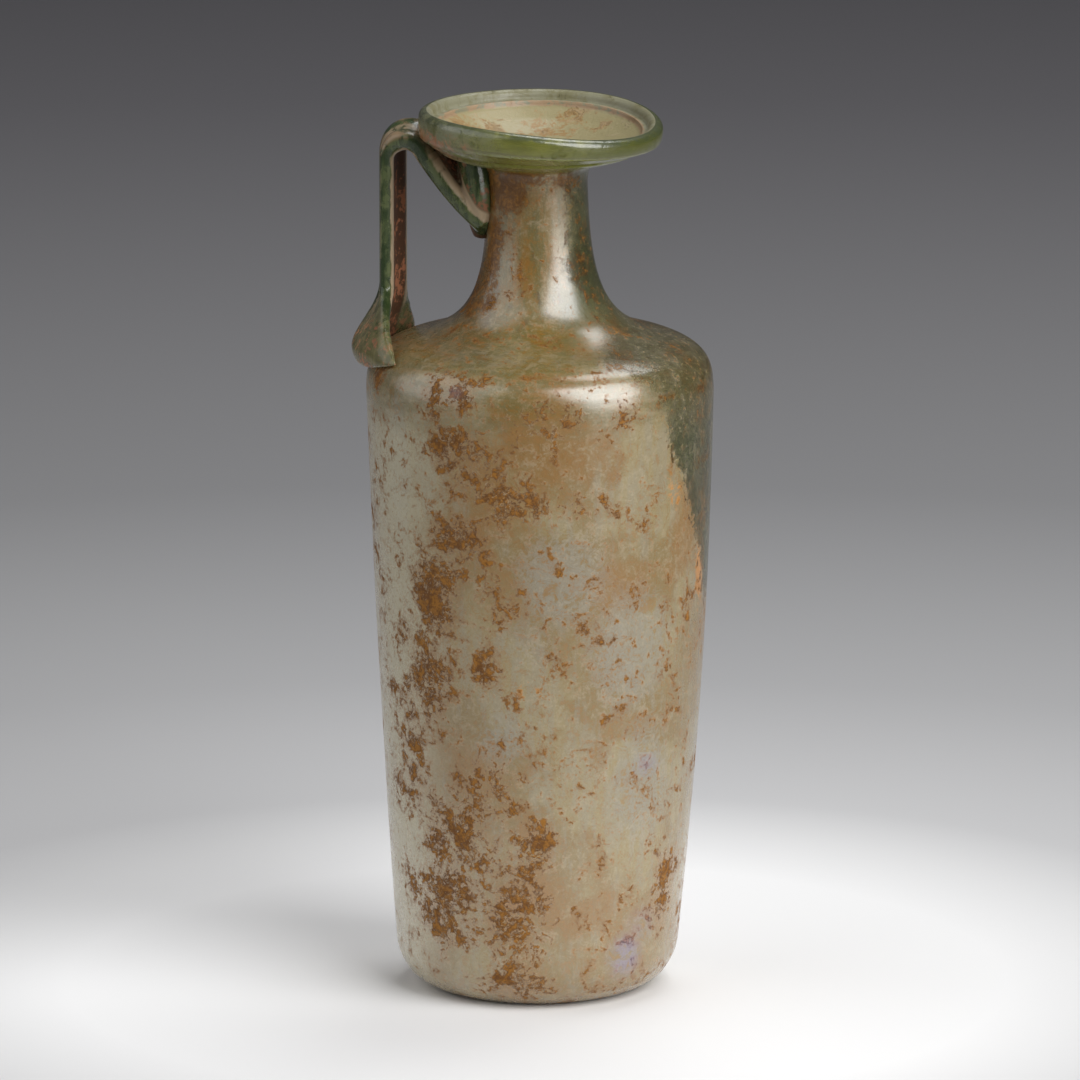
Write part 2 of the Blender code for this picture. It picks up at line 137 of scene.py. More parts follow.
@dataclass(frozen=True)
class Viewpoint:
    """Where the photograph was taken from, and how large it shows the flask."""

    azimuth: float = radians(CAMERA_AZIMUTH)
    elevation: float = radians(12.5)
    distance: float = 2.5
    aim_across: float = 0.00067
    aim_height: float = 0.1016
    pixel: float = 0.0002242
    frame: float = 1080.0
    sensor: float = 36.0
    rounds: int = 12

    def right(self) -> Vector:
        """Return the level direction to the picture's right."""
        return Vector((cos(self.azimuth), sin(self.azimuth), 0.0))

    def toward(self) -> Vector:
        """Return the level direction from the flask towards the camera."""
        return Vector((sin(self.azimuth), -cos(self.azimuth), 0.0))

    def add_camera(self) -> None:
        """Add the camera, and make it the scene's."""
        aim = self.right() * self.aim_across + Vector((0, 0, self.aim_height))
        away = self.toward() * cos(self.elevation) + Vector((0, 0, sin(self.elevation)))
        data = bpy.data.cameras.new("camera")
        data.sensor_width = self.sensor
        data.lens = self.sensor * self.distance / (self.pixel * self.frame)
        camera = linked("camera", data)
        camera.location = aim + away * self.distance
        camera.rotation_euler = away.to_track_quat("Z", "Y").to_euler()
        bpy.context.scene.camera = camera

    def on_round(self, column: float, row: float, radius_at: Callable[[float], float]) -> Vector:
        """Return the place on a round body that the picture shows at a pixel.

        Args:
            column: The pixel's column, from the left.
            row: The pixel's row, from the top.
            radius_at: The body's radius at a height.

        Returns:
            The place on the body's near side.
        """
        across = (column - self.frame / 2) * self.pixel + self.aim_across
        rise = (self.frame / 2 - row) * self.pixel
        height = self.aim_height
        for _ in range(self.rounds):
            radius = radius_at(height)
            near = sqrt(max(radius * radius - across * across, 0.0))
            height = self.aim_height + (rise + near * sin(self.elevation)) / cos(self.elevation)
        return self.right() * across + self.toward() * near + Vector((0, 0, height))


def operator(operation: str, swapped: bool = False) -> Callable[["Wire", Value], "Wire"]:
    """Return a method of Wire that adds a Math node, with the other value first if swapped.

    Args:
        operation: The Math node's operation.
        swapped: Whether the other comes first.

    Returns:
        The method.
    """

    def method(self: "Wire", other: Value) -> "Wire":
        """Return the Math node's output."""
        return self.math(operation, *((other, self) if swapped else (self, other)))

    return method


class Wire:
    """A node's output, with operators that add Math nodes behind it."""

    def __init__(self, graph: "Graph", socket: bpy.types.NodeSocket) -> None:
        """Keep the output and the graph that it belongs to."""
        self.graph = graph
        self.socket = socket

    def math(self, operation: str, *values: Value) -> "Wire":
        """Return a Math node's output for values, given in the order of its inputs."""
        return self.graph.add("ShaderNodeMath", {"operation": operation}, dict(enumerate(values)))

    __add__ = operator("ADD")
    __radd__ = operator("ADD", swapped=True)
    __sub__ = operator("SUBTRACT")
    __rsub__ = operator("SUBTRACT", swapped=True)
    __mul__ = operator("MULTIPLY")
    __rmul__ = operator("MULTIPLY", swapped=True)
    maximum = operator("MAXIMUM")

    def __abs__(self) -> "Wire":
        """Return the absolute value."""
        return self.math("ABSOLUTE", self)

    def step(self, low: float, high: float) -> "Wire":
        """Return an S-curve of this value.

        Args:
            low: Where the curve is 0.
            high: Where the curve is 1. It may be the lower of the two.

        Returns:
            The curve's value, from 0 to 1.
        """
        first, last = (low, high) if low < high else (high, low)
        ends = {"To Min": 0.0, "To Max": 1.0} if low < high else {"To Min": 1.0, "To Max": 0.0}
        sockets = {"Value": self, "From Min": first, "From Max": last, **ends}
        return self.graph.add("ShaderNodeMapRange", {"interpolation_type": "SMOOTHSTEP"}, sockets)


class Graph:
    """The nodes of one material or world, written as expressions."""

    def __init__(self, tree: bpy.types.NodeTree) -> None:
        """Start from an empty tree."""
        self.tree = tree
        tree.nodes.clear()

    def add(
        self,
        kind: str,
        settings: dict[str, Any] | None = None,
        sockets: dict[Any, Value] | None = None,
        output: int | str = 0,
    ) -> Wire:
        """Add one node.

        Args:
            kind: The node's type.
            settings: Its own settings, which are set first; "stops" are a ramp's.
            sockets: Values or wires of its inputs, by index, identifier or name.
            output: Which output is wanted.

        Returns:
            That output.
        """
        node = self.tree.nodes.new(kind)
        for name, value in (settings or {}).items():
            if name == "stops":
                self.set_stops(node.color_ramp, value)
            else:
                setattr(node, name, value)
        for key, value in (sockets or {}).items():
            socket = self.find(node.inputs, key)
            if isinstance(value, Wire):
                self.tree.links.new(value.socket, socket)
            else:
                socket.default_value = value
        return Wire(self, self.find(node.outputs, output)) if len(node.outputs) else None

    @staticmethod
    def set_stops(ramp: bpy.types.ColorRamp, stops: tuple[tuple[float, Color], ...]) -> None:
        """Give a colour ramp its stops.

        Args:
            ramp: The colour ramp.
            stops: Pairs of a position and a colour.
        """
        while len(ramp.elements) < len(stops):
            ramp.elements.new(0.5)
        for element, (position, color) in zip(ramp.elements, stops):
            element.position = position
            element.color = (*color, 1.0)

    @staticmethod
    def find(sockets: Any, key: int | str) -> bpy.types.NodeSocket:
        """Return a node's socket by index, by identifier, or else by name.

        Args:
            sockets: The node's inputs or outputs.
            key: The index, identifier or name.

        Returns:
            The socket.
        """
        if isinstance(key, int):
            return sockets[key]
        for socket in sockets:
            if socket.identifier == key:
                return socket
        return sockets[key]

    def place(self) -> Wire:
        """Return the place on the piece, in metres."""
        return self.add("ShaderNodeTexCoord", output="Object")

    def component(self, vector: Wire, axis: Axis) -> Wire:
        """Return one component of a vector."""
        return self.add("ShaderNodeSeparateXYZ", None, {0: vector}, axis.value)

    def vector(self, operation: str, *values: Value, output: int | str = 0) -> Wire:
        """Return a Vector Math node's output for values.

        Args:
            operation: The Vector Math node's operation.
            values: Its inputs, in order.
            output: Which output is wanted.

        Returns:
            That output.
        """
        return self.add(
            "ShaderNodeVectorMath", {"operation": operation}, dict(enumerate(values)), output
        )

    def mark(self, name: str) -> Wire:
        """Return a mark that the piece's mesh holds."""
        return self.add("ShaderNodeAttribute", {"attribute_name": name}, None, "Fac")

    def noise(
        self, vector: Wire, size: float, detail: float = 6, rough: float = 0.6, bend: float = 0
    ) -> Wire:
        """Return a cloudy pattern.

        Args:
            vector: The place that it is read at.
            size: How large its largest forms are, in metres.
            detail: How many finer layers it has.
            rough: How strong the finer layers are.
            bend: How far it is distorted.

        Returns:
            The pattern's value, from 0 to 1 and near 0.5 on average.
        """
        sockets = {"Scale": 1 / size, "Detail": detail, "Roughness": rough, "Distortion": bend}
        return self.add("ShaderNodeTexNoise", None, {"Vector": vector, **sockets}, "Fac")

    def stretched(self, vector: Wire, scale: Color) -> Wire:
        """Return a place whose components are scaled."""
        return self.vector("MULTIPLY", vector, scale)

    def mix(self, factor: Value, first: Value, second: Value) -> Wire:
        """Return the colour at a factor of the way from first to second.

        Args:
            factor: How far, from 0 to 1.
            first: The colour at 0.
            second: That at 1.

        Returns:
            The mixed colour.
        """
        colors = {"A_Color": first, "B_Color": second}
        for key, value in colors.items():
            if not isinstance(value, Wire):
                colors[key] = (*value, 1.0)
        settings = {"data_type": "RGBA"}
        return self.add(
            "ShaderNodeMix", settings, {"Factor_Float": factor, **colors}, "Result_Color"
        )

    def layers(self, color: Value, *coats: tuple[Value, Value]) -> Wire:
        """Return a colour with coats over it, each a factor and a colour, lowest first.

        Args:
            color: The lowest colour.
            coats: Pairs of a factor and a colour, lowest first.

        Returns:
            The colour on top.
        """
        for factor, coat in coats:
            color = self.mix(factor, color, coat)
        return color

    def principled(self, **sockets: Value) -> Wire:
        """Return a Principled shader with these socket values.

        Args:
            sockets: Values or wires by the socket's name, with _ for a space.

        Returns:
            The shader.
        """
        named = {name.replace("_", " "): value for name, value in sockets.items()}
        for name, value in named.items():
            if "Color" in name and not isinstance(value, Wire):
                named[name] = (*value, 1.0)
        return self.add("ShaderNodeBsdfPrincipled", None, named)

    def bump(self, height: Wire, depth: float, strength: float = 1.0) -> Wire:
        """Return a normal that is bent by a height from 0 to 1, depth metres deep."""
        sockets = {"Strength": strength, "Distance": depth, "Height": height}
        return self.add("ShaderNodeBump", None, sockets)

    def finish(self, shader: Wire) -> None:
        """Send a shader to the material's output."""
        self.add("ShaderNodeOutputMaterial", None, {"Surface": shader})

    def finish_glass(self, color: Color, film: Wire, filmed: Wire, **sockets: Value) -> None:
        """Finish a material of see-through glass under a film.

        Args:
            color: The glass's own colour.
            film: The film's shader.
            filmed: How much of the film is there.
            sockets: The other sockets of the glass.
        """
        glass = self.principled(
            Base_Color=color, Transmission_Weight=1.0, IOR=GLASS_IOR, **sockets
        )
        self.finish(self.add("ShaderNodeMixShader", None, {0: filmed, 1: glass, 2: film}))


def new_material(name: str) -> tuple[bpy.types.Material, Graph]:
    """Return a new material and its empty graph.

    Args:
        name: The material's name.

    Returns:
        The material and its graph.
    """
    material = bpy.data.materials.new(name)
    material.use_nodes = True
    return material, Graph(material.node_tree)


@dataclass(frozen=True)
class Spot:
    """A soft round area on the body, placed as the photograph shows it.

    Columns and rows are those of the 1080-pixel picture, and the half width and
    half height are in the same pixels.
    """

    column: float
    row: float
    half_width: float
    half_height: float
    strength: float = 1.0

    def field(self, graph: Graph, place: Wire, view: Viewpoint, radius_at: Callable) -> Wire:
        """Return how strongly the spot is felt, fading from its middle to its edge.

        Args:
            graph: The graph that the nodes go into.
            place: The place on the piece.
            view: The photograph's viewpoint.
            radius_at: The body's radius at a height.

        Returns:
            The strength in the middle, and 0 outside the spot.
        """
        middle = view.on_round(self.column, self.row, radius_at)
        width = self.half_width * view.pixel
        height = self.half_height * view.pixel
        apart = graph.vector("SUBTRACT", place, tuple(middle))
        shares = graph.stretched(apart, (1 / width, 1 / width, 1 / height))
        away = graph.vector("LENGTH", shares, output="Value")
        return away.step(1.0, 0.15) * self.strength


def spots(*rows: tuple[float, ...]) -> tuple[Spot, ...]:
    """Return spots from rows (column, row, half width, half height, strength)."""
    return tuple(Spot(*row) for row in rows)


@dataclass(frozen=True)
class Patterns:
    """What the weathered film is made from.

    "across", "depth" and "height" are the place's components, and "bent" is "across"
    with soft swings, for the rim. "broad" to "grain" are cloudy patterns, from the
    widest to the finest. "rings" and "streaks" run round and down the flask. "ragged"
    swings round 0 and roughens edges. The last two are zones.
    """

    place: Wire
    across: Wire
    bent: Wire
    depth: Wire
    height: Wire
    broad: Wire
    middle: Wire
    small: Wire
    fine: Wire
    grain: Wire
    rings: Wire
    streaks: Wire
    ragged: Wire
    on_neck: Wire
    on_shoulder: Wire


@dataclass(frozen=True)
class WeatheredGlass:
    """Pale green blown glass under a satin film, with brown soil, one clear window, and painted
    sheen, reflection and glow.
    """

    view: Viewpoint
    radius_at: Callable[[float], float]
    dish_height: float
    fold_radius: float
    glass: Color = linear(186, 202, 158)
    film_pale: Color = linear(144, 128, 86)
    film_grey: Color = linear(138, 133, 118)
    # Painted reflection: a pale strip of reflected light down the body's left side.
    film_painted_reflection: Color = linear(190, 182, 152)
    film_warm: Color = linear(129, 108, 61)
    film_ochre: Color = linear(134, 96, 30)
    soil_light: Color = linear(146, 98, 34)
    soil_dark: Color = linear(98, 60, 18)
    cream: Color = linear(172, 156, 126)
    orange: Color = linear(190, 128, 46)
    violet: Color = linear(126, 124, 152)
    rim_green: Color = linear(132, 134, 50)
    rim_blue: Color = linear(146, 148, 106)
    rust: Color = linear(164, 106, 62)
    rim_yellow: Color = linear(98, 102, 36)
    rim_inner: Color = linear(130, 128, 104)
    crest_green: Color = linear(64, 76, 46)
    dish_beige: Color = linear(150, 140, 102)
    neck_brown: Color = linear(80, 52, 20)
    fold_pink: Color = linear(158, 132, 102)
    # Painted glow, as of light shining through the rim's glass.
    painted_rim_glow: Color = linear(150, 156, 64)
    neck_green: Color = linear(74, 80, 48)
    olive: Color = linear(104, 97, 54)

    neck_zone: Point = (0.145, 0.160)
    shoulder_zone: Point = (0.128, 0.140)
    shoulder_end: Point = (0.166, 0.150)
    window_end: Point = (0.088, 0.094)
    window_back: float = 0.008
    crust_step: Point = (0.76, 1.02)

    neck_spots: tuple[Spot, ...] = spots(
        (505, 195, 44, 40, 1), (492, 262, 22, 70, 0.9), (522, 178, 46, 20, 0.9),
        (478, 300, 40, 30, 0.5), (560, 182, 30, 14, 0.5),
    )
    soil_spots: tuple[Spot, ...] = spots(
        (378, 375, 26, 26, 0.9), (450, 398, 50, 48, 0.92), (452, 452, 48, 54, 0.92),
        (470, 470, 62, 54, 0.82), (505, 510, 62, 40, 0.92), (458, 545, 54, 50, 0.92),
        (440, 592, 56, 80, 1), (494, 606, 50, 54, 0.72), (424, 670, 48, 80, 0.86),
        (486, 664, 40, 40, 0.72), (416, 760, 40, 90, 0.58), (500, 780, 50, 44, 0.55),
        (468, 836, 84, 70, 0.92), (530, 850, 60, 50, 0.86), (450, 905, 80, 80, 0.96),
        (516, 920, 70, 60, 0.86), (420, 985, 60, 24, 0.6), (520, 980, 90, 24, 0.72),
        (664, 888, 36, 60, 0.8), (694, 900, 24, 60, 0.55), (575, 505, 44, 30, 0.55),
        (545, 425, 90, 44, 0.6), (625, 420, 26, 34, 0.66), (684, 605, 22, 34, 0.66),
    )
    ochre_spots: tuple[Spot, ...] = spots(
        (560, 440, 120, 80, 1), (480, 500, 90, 90, 0.6), (600, 790, 120, 120, 0.35),
        (620, 590, 50, 60, 0.6), (680, 530, 46, 110, 0.9), (560, 900, 140, 90, 0.4),
        (590, 335, 90, 30, 0.9), (540, 240, 60, 100, 0.25),
    )
    orange_spots: tuple[Spot, ...] = spots(
        (697, 548, 24, 90, 1), (672, 490, 24, 40, 0.6), (528, 688, 24, 16, 0.45),
        (618, 335, 34, 20, 0.5),
    )
    # Paler film, much of it painted sheen: the long strip on the left, the broad patches in the
    # middle and on the right, and the one by the base stand for reflected light.
    pale_and_sheen_spots: tuple[Spot, ...] = spots(
        (398, 470, 26, 130, 1.3), (560, 580, 80, 80, 1), (455, 400, 22, 20, 0.8),
        (520, 640, 60, 60, 0.6), (500, 740, 50, 60, 0.8), (630, 650, 80, 110, 1),
        (640, 780, 70, 120, 0.9), (402, 940, 24, 60, 0.9),
    )
    violet_spots: tuple[Spot, ...] = spots(
        (625, 955, 30, 34, 1), (645, 762, 26, 20, 0.6), (640, 925, 30, 30, 0.4),
        (455, 395, 14, 12, 0.35),
    )

    def strongest(self, graph: Graph, place: Wire, group: tuple[Spot, ...]) -> Wire:
        """Return the strongest of a group of spots at each place.

        Args:
            graph: The graph that the nodes go into.
            place: The place on the piece.
            group: The spots.

        Returns:
            The strength, 0 outside all of them.
        """
        total, *others = (spot.field(graph, place, self.view, self.radius_at) for spot in group)
        for other in others:
            total = total.maximum(other)
        return total

    def patterns(self, graph: Graph) -> Patterns:
        """Return the patterns and the zones that the film is made from.

        Args:
            graph: The graph that the nodes go into.

        Returns:
            The patterns and the zones.
        """
        place = graph.place()
        across = graph.component(place, Axis.X)
        height = graph.component(place, Axis.Z)
        level_place = graph.stretched(place, (1.0, 1.0, 0.0))
        radius = graph.vector("LENGTH", level_place, output="Value")
        middle = graph.noise(place, 0.009, 8, 0.70, 0.5)
        small = graph.noise(place, 0.0034, 6, 0.68, 0.8)
        fine = graph.noise(place, 0.0012, 5, 0.7, 0.3)
        round_way = graph.stretched(graph.vector("NORMALIZE", level_place), (0.012, 0.012, 0.0))
        fallen = graph.add("ShaderNodeCombineXYZ", None, {"Z": height - radius}, "Vector")
        ring_place = graph.vector("ADD", round_way, fallen)
        return Patterns(
            place=place,
            across=across,
            bent=across + (middle - 0.5) * 0.05,
            depth=graph.component(place, Axis.Y),
            height=height,
            broad=graph.noise(place, 0.030, 5, 0.55, 0.4),
            middle=middle,
            small=small,
            fine=fine,
            grain=graph.noise(place, 0.0005, 3, 0.6),
            rings=graph.noise(ring_place, 0.0022, 5, 0.65, 0.2),
            streaks=graph.noise(graph.stretched(place, (1.0, 1.0, 0.16)), 0.0022, 6, 0.65, 0.2),
            ragged=(middle - 0.5) * 4.6 + (small - 0.5) * 4.4 + (fine - 0.5) * 3.4,
            on_neck=height.step(*self.neck_zone),
            on_shoulder=height.step(*self.shoulder_zone) * height.step(*self.shoulder_end),
        )

    def window(self, seen: Patterns) -> Wire:
        """Return where the film is gone, on the right of the shoulder and the body.

        Args:
            seen: The patterns and the zones.

        Returns:
            1 in the window, 0 outside it.
        """
        beyond = seen.depth + 0.49 * seen.height - 0.0446 + 0.0024 * seen.ragged
        sharp = 520.0 - 360.0 * seen.height.step(0.128, 0.138)
        side = (beyond * sharp).step(0.0, 1.0)
        limit = 0.0095 + 0.0110 * seen.height.step(0.168, 0.146)
        wavy = seen.depth.step(self.window_back, 0.022) * (seen.broad - 0.5) * 0.16
        right = (seen.across - limit + 0.0020 * seen.ragged + wavy).step(-0.0022, 0.0014)
        rise = (seen.depth - self.window_back).maximum(0.0) * 0.9
        low = seen.height - rise + wavy * 1.3 + 0.003 * seen.ragged
        return side * right * low.step(*self.window_end)

    def body_color(self, graph: Graph, seen: Patterns, soil: Wire, sooty: Wire) -> Wire:
        """Return the film's colour on the body, the shoulder and the neck.

        Args:
            graph: The graph that the nodes go into.
            seen: The patterns and the zones.
            soil: How near the soil is.
            sooty: Where the neck is blackened.

        Returns:
            The colour.
        """
        stain = soil.step(0.30, 0.90)
        tint = (seen.broad - 0.5) * 3.0 + (seen.middle - 0.5) * 2.4
        ochre, orange, pale, violet = (
            self.strongest(graph, seen.place, group)
            for group in (self.ochre_spots, self.orange_spots, self.pale_and_sheen_spots, self.violet_spots)
        )
        orange = (orange + seen.ragged * 0.6).step(0.35, 0.9)
        pale = (pale + seen.ragged * 0.5).step(0.2, 0.9)
        violet = violet * (seen.ragged * 0.6 + 0.8).step(0.2, 1.0)
        mossy = seen.on_neck * (seen.across + seen.ragged * 0.0016).step(0.0065, 0.0115)
        leftward = seen.across * 0.97 + seen.depth * 0.24
        # Browner and darker along the neck's left edge.
        flank = seen.on_neck * (leftward + seen.ragged * 0.0016).step(-0.0085, -0.0125)
        # Below the shoulder, the body's left side gets a painted reflection: a pale strip of
        # reflected light laid into the film's colour.
        leftward = (leftward + seen.ragged * 0.002).step(-0.018, -0.034)
        mottle = seen.small + seen.fine * 0.6 + seen.grain * 0.4
        dots = seen.small + seen.fine * 0.7 + seen.grain * 0.5
        shade = (seen.fine * 0.9 + seen.small * 0.5 + seen.grain * 0.3).step(0.79, 1.02)
        soil_color = graph.mix(shade, self.soil_dark, self.soil_light)
        veins = 1.0 - abs(graph.noise(seen.place, 0.006, 5, 0.62, 1.6) - 0.5).step(0.002, 0.018)
        return graph.layers(
            self.film_pale,
            ((seen.broad + tint * 0.1).step(0.42, 0.58), self.film_warm),
            ((seen.streaks - seen.broad * 0.5).step(0.20, 0.36) * 0.35, self.film_grey),
            ((ochre + tint).step(0.15, 1.0) * 0.8, self.film_ochre),
            # Pale film and painted sheen.
            (pale * 0.7, self.film_grey),
            # Painted reflection down the body's left side.
            (leftward * seen.height.step(0.140, 0.128) * 0.8, self.film_painted_reflection),
            (soil.step(0.0, 0.70) * 0.60, self.film_ochre),
            (seen.on_shoulder * seen.rings.step(0.40, 0.60) * 0.65, self.olive),
            (seen.on_neck * seen.streaks.step(0.42, 0.58) * 0.75, self.olive),
            (seen.on_neck * seen.streaks.step(0.56, 0.68) * 0.5, self.neck_brown),
            (flank * 0.6, self.neck_brown),
            (mottle.step(0.97, 1.17) * 0.45, self.cream),
            (dots.step(1.04, 0.92) * 0.42, self.soil_light),
            (stain * 0.46, self.soil_light),
            (orange, self.orange),
            (soil.step(*self.crust_step) * 0.95, soil_color),
            (veins * stain * (seen.fine + 0.4).step(0.8, 1.0) * 0.8, self.cream),
            (mossy * 0.8, self.neck_green),
            (sooty * 0.88, soil_color),
            (violet * 0.6, self.violet),
        )

    def rim_color(
        self, graph: Graph, seen: Patterns, marks: tuple[Wire, Wire], inner: Wire, left: Wire
    ) -> Wire:
        """Return the colour of the rim and of the dish's lining.

        Args:
            graph: The graph that the nodes go into.
            seen: The patterns and the zones.
            marks: The height and the radius before the rim sagged.
            inner: Where the lining is.
            left: Where the rim is rusty.

        Returns:
            The colour.
        """
        level, reach = marks
        # Below the fold on the rim's right, a painted glow: the wall is coloured as if lit through
        # the glass.
        below = level.step(0.1950, 0.1938) * seen.bent.step(-0.016, 0.006)
        ridge = abs(level - 0.1948 + (seen.middle - 0.5) * 0.002).step(0.0004, 0.0001)
        crest = level.step(0.1980, 0.1992) * (seen.small + 0.4).step(0.78, 0.94)
        green = graph.layers(
            self.rim_blue,
            (seen.bent.step(-0.020, 0.004), self.rim_green),
            (seen.bent.step(0.004, 0.024), self.rim_yellow),
            ((seen.middle + seen.small * 0.6).step(0.80, 0.90) * 0.5, self.rim_yellow),
            (below * 0.8, self.painted_rim_glow),
            (ridge * 0.5, self.olive),
            (crest * 0.75, self.crest_green),
            (left * 0.95, self.rust),
        )
        brownish = (seen.ragged * 0.5 + (seen.broad - 0.5) * 3.0).step(0.02, 0.42)
        dish = graph.layers(
            self.dish_beige,
            (brownish * 0.62, self.soil_light),
            ((seen.small + seen.fine * 0.5).step(0.80, 0.92) * 0.5, self.cream),
        )
        floor = inner * reach.step(self.fold_radius + 0.0002, self.fold_radius - 0.0004)
        line = inner * abs(reach - self.fold_radius).step(0.0007, 0.0002)
        lining = graph.layers(
            self.rim_inner,
            ((seen.middle + seen.small * 0.5).step(0.70, 0.84) * 0.5, self.olive),
            (floor, dish),
            (line * (seen.small + seen.middle).step(0.90, 1.02), self.fold_pink),
        )
        return graph.mix(inner, green, lining)

    def make(self) -> bpy.types.Material:
        """Make the material.

        Returns:
            The finished material.
        """
        material, graph = new_material("weathered_glass")
        seen = self.patterns(graph)
        soil = self.strongest(graph, seen.place, self.soil_spots) * 1.12 + seen.ragged * 0.92
        crust = soil.step(*self.crust_step)
        sooty = self.strongest(graph, seen.place, self.neck_spots) + seen.ragged * 0.6
        sooty = sooty.step(0.1, 0.62)

        level, reach, lined = (graph.mark(name) for name in RIM_MARKS)
        rim = level.step(self.dish_height - 0.0014, self.dish_height + 0.0002)
        inner = lined.step(0.4, 0.6)
        left = seen.bent.step(-0.008, -0.018) * (seen.ragged * 0.4).step(-0.30, 0.10)
        left = left * (level + (seen.small - 0.5) * 0.008).step(0.1976, 0.1962)
        rim_color = self.rim_color(graph, seen, (level, reach), inner, left)
        color = graph.mix(rim, self.body_color(graph, seen, soil, sooty), rim_color)

        haze = seen.small * 0.5 + seen.fine * 0.6 + seen.streaks * 0.4
        specks = (seen.fine + seen.grain * 0.7).step(0.92, 1.02) * 0.45
        haze = (haze.step(0.66, 0.98) * 0.40).maximum(specks)
        haze = haze + seen.on_neck * 0.25 + seen.on_shoulder * 0.22
        clear = self.window(seen) * (1.0 - rim)
        wall = rim * (1.0 - inner) * (1.0 - left * 0.9)
        filmed = (1.0 - clear * (0.92 - haze)) * (1.0 - wall * 0.34) * (1.0 - rim * 0.08)

        grit = crust * 0.6 + seen.middle * 0.3 + seen.small * 0.35
        grit = grit + seen.fine * 0.3 + seen.grain * 0.10
        grit = grit + seen.on_neck * seen.streaks * 0.5 + seen.on_shoulder * seen.rings * 0.5
        film = graph.principled(
            Base_Color=color,
            Roughness=0.33 + crust * 0.32 + (seen.small - 0.5) * 1.0 + rim * inner * 0.2,
            Coat_Weight=(1.0 - crust) * (1.0 - inner * 0.85) * (1.0 - sooty * 0.8) * 0.95,
            Coat_Roughness=0.25,
            Coat_IOR=1.95,
            Specular_IOR_Level=0.35,
            Normal=graph.bump(grit, 0.00055, 0.7),
        )
        graph.finish_glass(
            self.glass,
            film,
            filmed,
            Roughness=0.13 + seen.small * 0.12,
            Normal=graph.bump(seen.small, 0.0001, 0.3),
        )
        return material


@dataclass(frozen=True)
class GreenGlass:
    """Glossy dark green glass with cream and brown soil on its ribs and in its hollows, painted
    shade on the strap's inner face and painted light on its foot.
    """

    rim_underside: float
    glass: Color = linear(120, 150, 100)
    green: Color = linear(56, 72, 40)
    green_pale: Color = linear(106, 116, 74)
    # Olive tone of the foot, made paler as painted light.
    foot_olive_painted_light: Color = linear(146, 136, 94)
    cream: Color = linear(172, 150, 122)
    # Brown soil, and painted shade on the strap's inner face.
    brown: Color = linear(84, 48, 27)
    tan: Color = linear(158, 128, 98)
    orange: Color = linear(180, 116, 82)

    def make(self) -> bpy.types.Material:
        """Make the material.

        Returns:
            The finished material.
        """
        material, graph = new_material("green_glass")
        place = graph.place()
        height = graph.component(place, Axis.Z)
        across, outward, rooted = (graph.mark(name) for name in MARKS)
        middle = graph.noise(place, 0.006, 7, 0.65, 0.4)
        fine = graph.noise(place, 0.0012, 5, 0.65)
        along = graph.noise(graph.stretched(place, (1.0, 1.0, 0.14)), 0.0016, 4, 0.6)
        wander = (middle - 0.5) * 1.6 + (along - 0.5) * 1.2
        rib = across.step(0.62, 0.76)
        falling = rooted.step(-0.04, -0.25)
        foot = rooted.step(0.10, 0.55)
        lump = outward.step(1.15, 1.5)

        mottled = (middle + along * 0.8).step(0.80, 1.04)
        inner_line = (outward + wander * 0.5).step(-0.38, -0.62) * (1.0 - falling)
        outer_line = (outward + wander * 0.4).step(0.46, 0.68) * (0.30 + falling * 0.70)
        lines = rib * inner_line.maximum(outer_line) * (1.0 - foot * 0.85) * (1.0 - lump)
        ridged = outward.step(0.2, 0.6) * (1.0 - lump)
        groove = abs(across - 0.5 + wander * 0.08).step(0.22, 0.06)
        groove = groove * ridged * (1.0 - foot * 0.8) * (middle + along * 0.4).step(0.50, 0.66)
        cream = lines.maximum(groove * 0.75)
        patchy = middle + fine * 0.5
        high = height.step(self.rim_underside - 0.003, self.rim_underside + 0.003)
        high = high * ridged * (patchy + 0.1).step(0.78, 0.92)
        # The strap's inner face, towards the flask, is painted dark brown: brown soil and painted
        # shade between the strap and the body.
        inside = (1.0 - rib) * outward.step(-0.1, -0.55)
        under = falling * (1.0 - rib) * ridged * patchy.step(0.62, 0.78)
        low = rooted.step(0.70, 0.97) * patchy.step(0.68, 0.82)
        lump_soil = lump * patchy.step(0.76, 0.88)
        soil_and_inner_shade = inside.maximum(low * 0.62).maximum(under).maximum(lump_soil * 0.8)
        deposit = (fine * 0.8 + middle).step(0.93, 1.02) * foot
        deposit = deposit.maximum((fine + middle).step(1.04, 1.14) * soil_and_inner_shade)
        color = graph.layers(
            self.green,
            (mottled, self.green_pale),
            # The foot is olive and paler than the strap: its own olive tone, and painted light on
            # a foot that faces away from the key light.
            (foot * (0.60 + mottled * 0.4), self.foot_olive_painted_light),
            (high * 0.85, self.tan),
            (cream * 0.92, self.cream),
            (soil_and_inner_shade * 0.92, self.brown),
            (deposit * 0.75, self.orange),
        )
        film = graph.principled(
            Base_Color=color,
            Roughness=0.17 + cream * 0.26 + soil_and_inner_shade * 0.5 + deposit * 0.3,
            Specular_IOR_Level=0.5,
            Normal=graph.bump(fine * 0.5 + along * 0.5 + cream * 0.3, 0.00025, 0.6),
        )
        filmed = (0.66 + cream * 0.32).maximum(soil_and_inner_shade * 0.97).maximum(deposit * 0.95)
        graph.finish_glass(self.glass, film, filmed, Roughness=0.05)
        return material


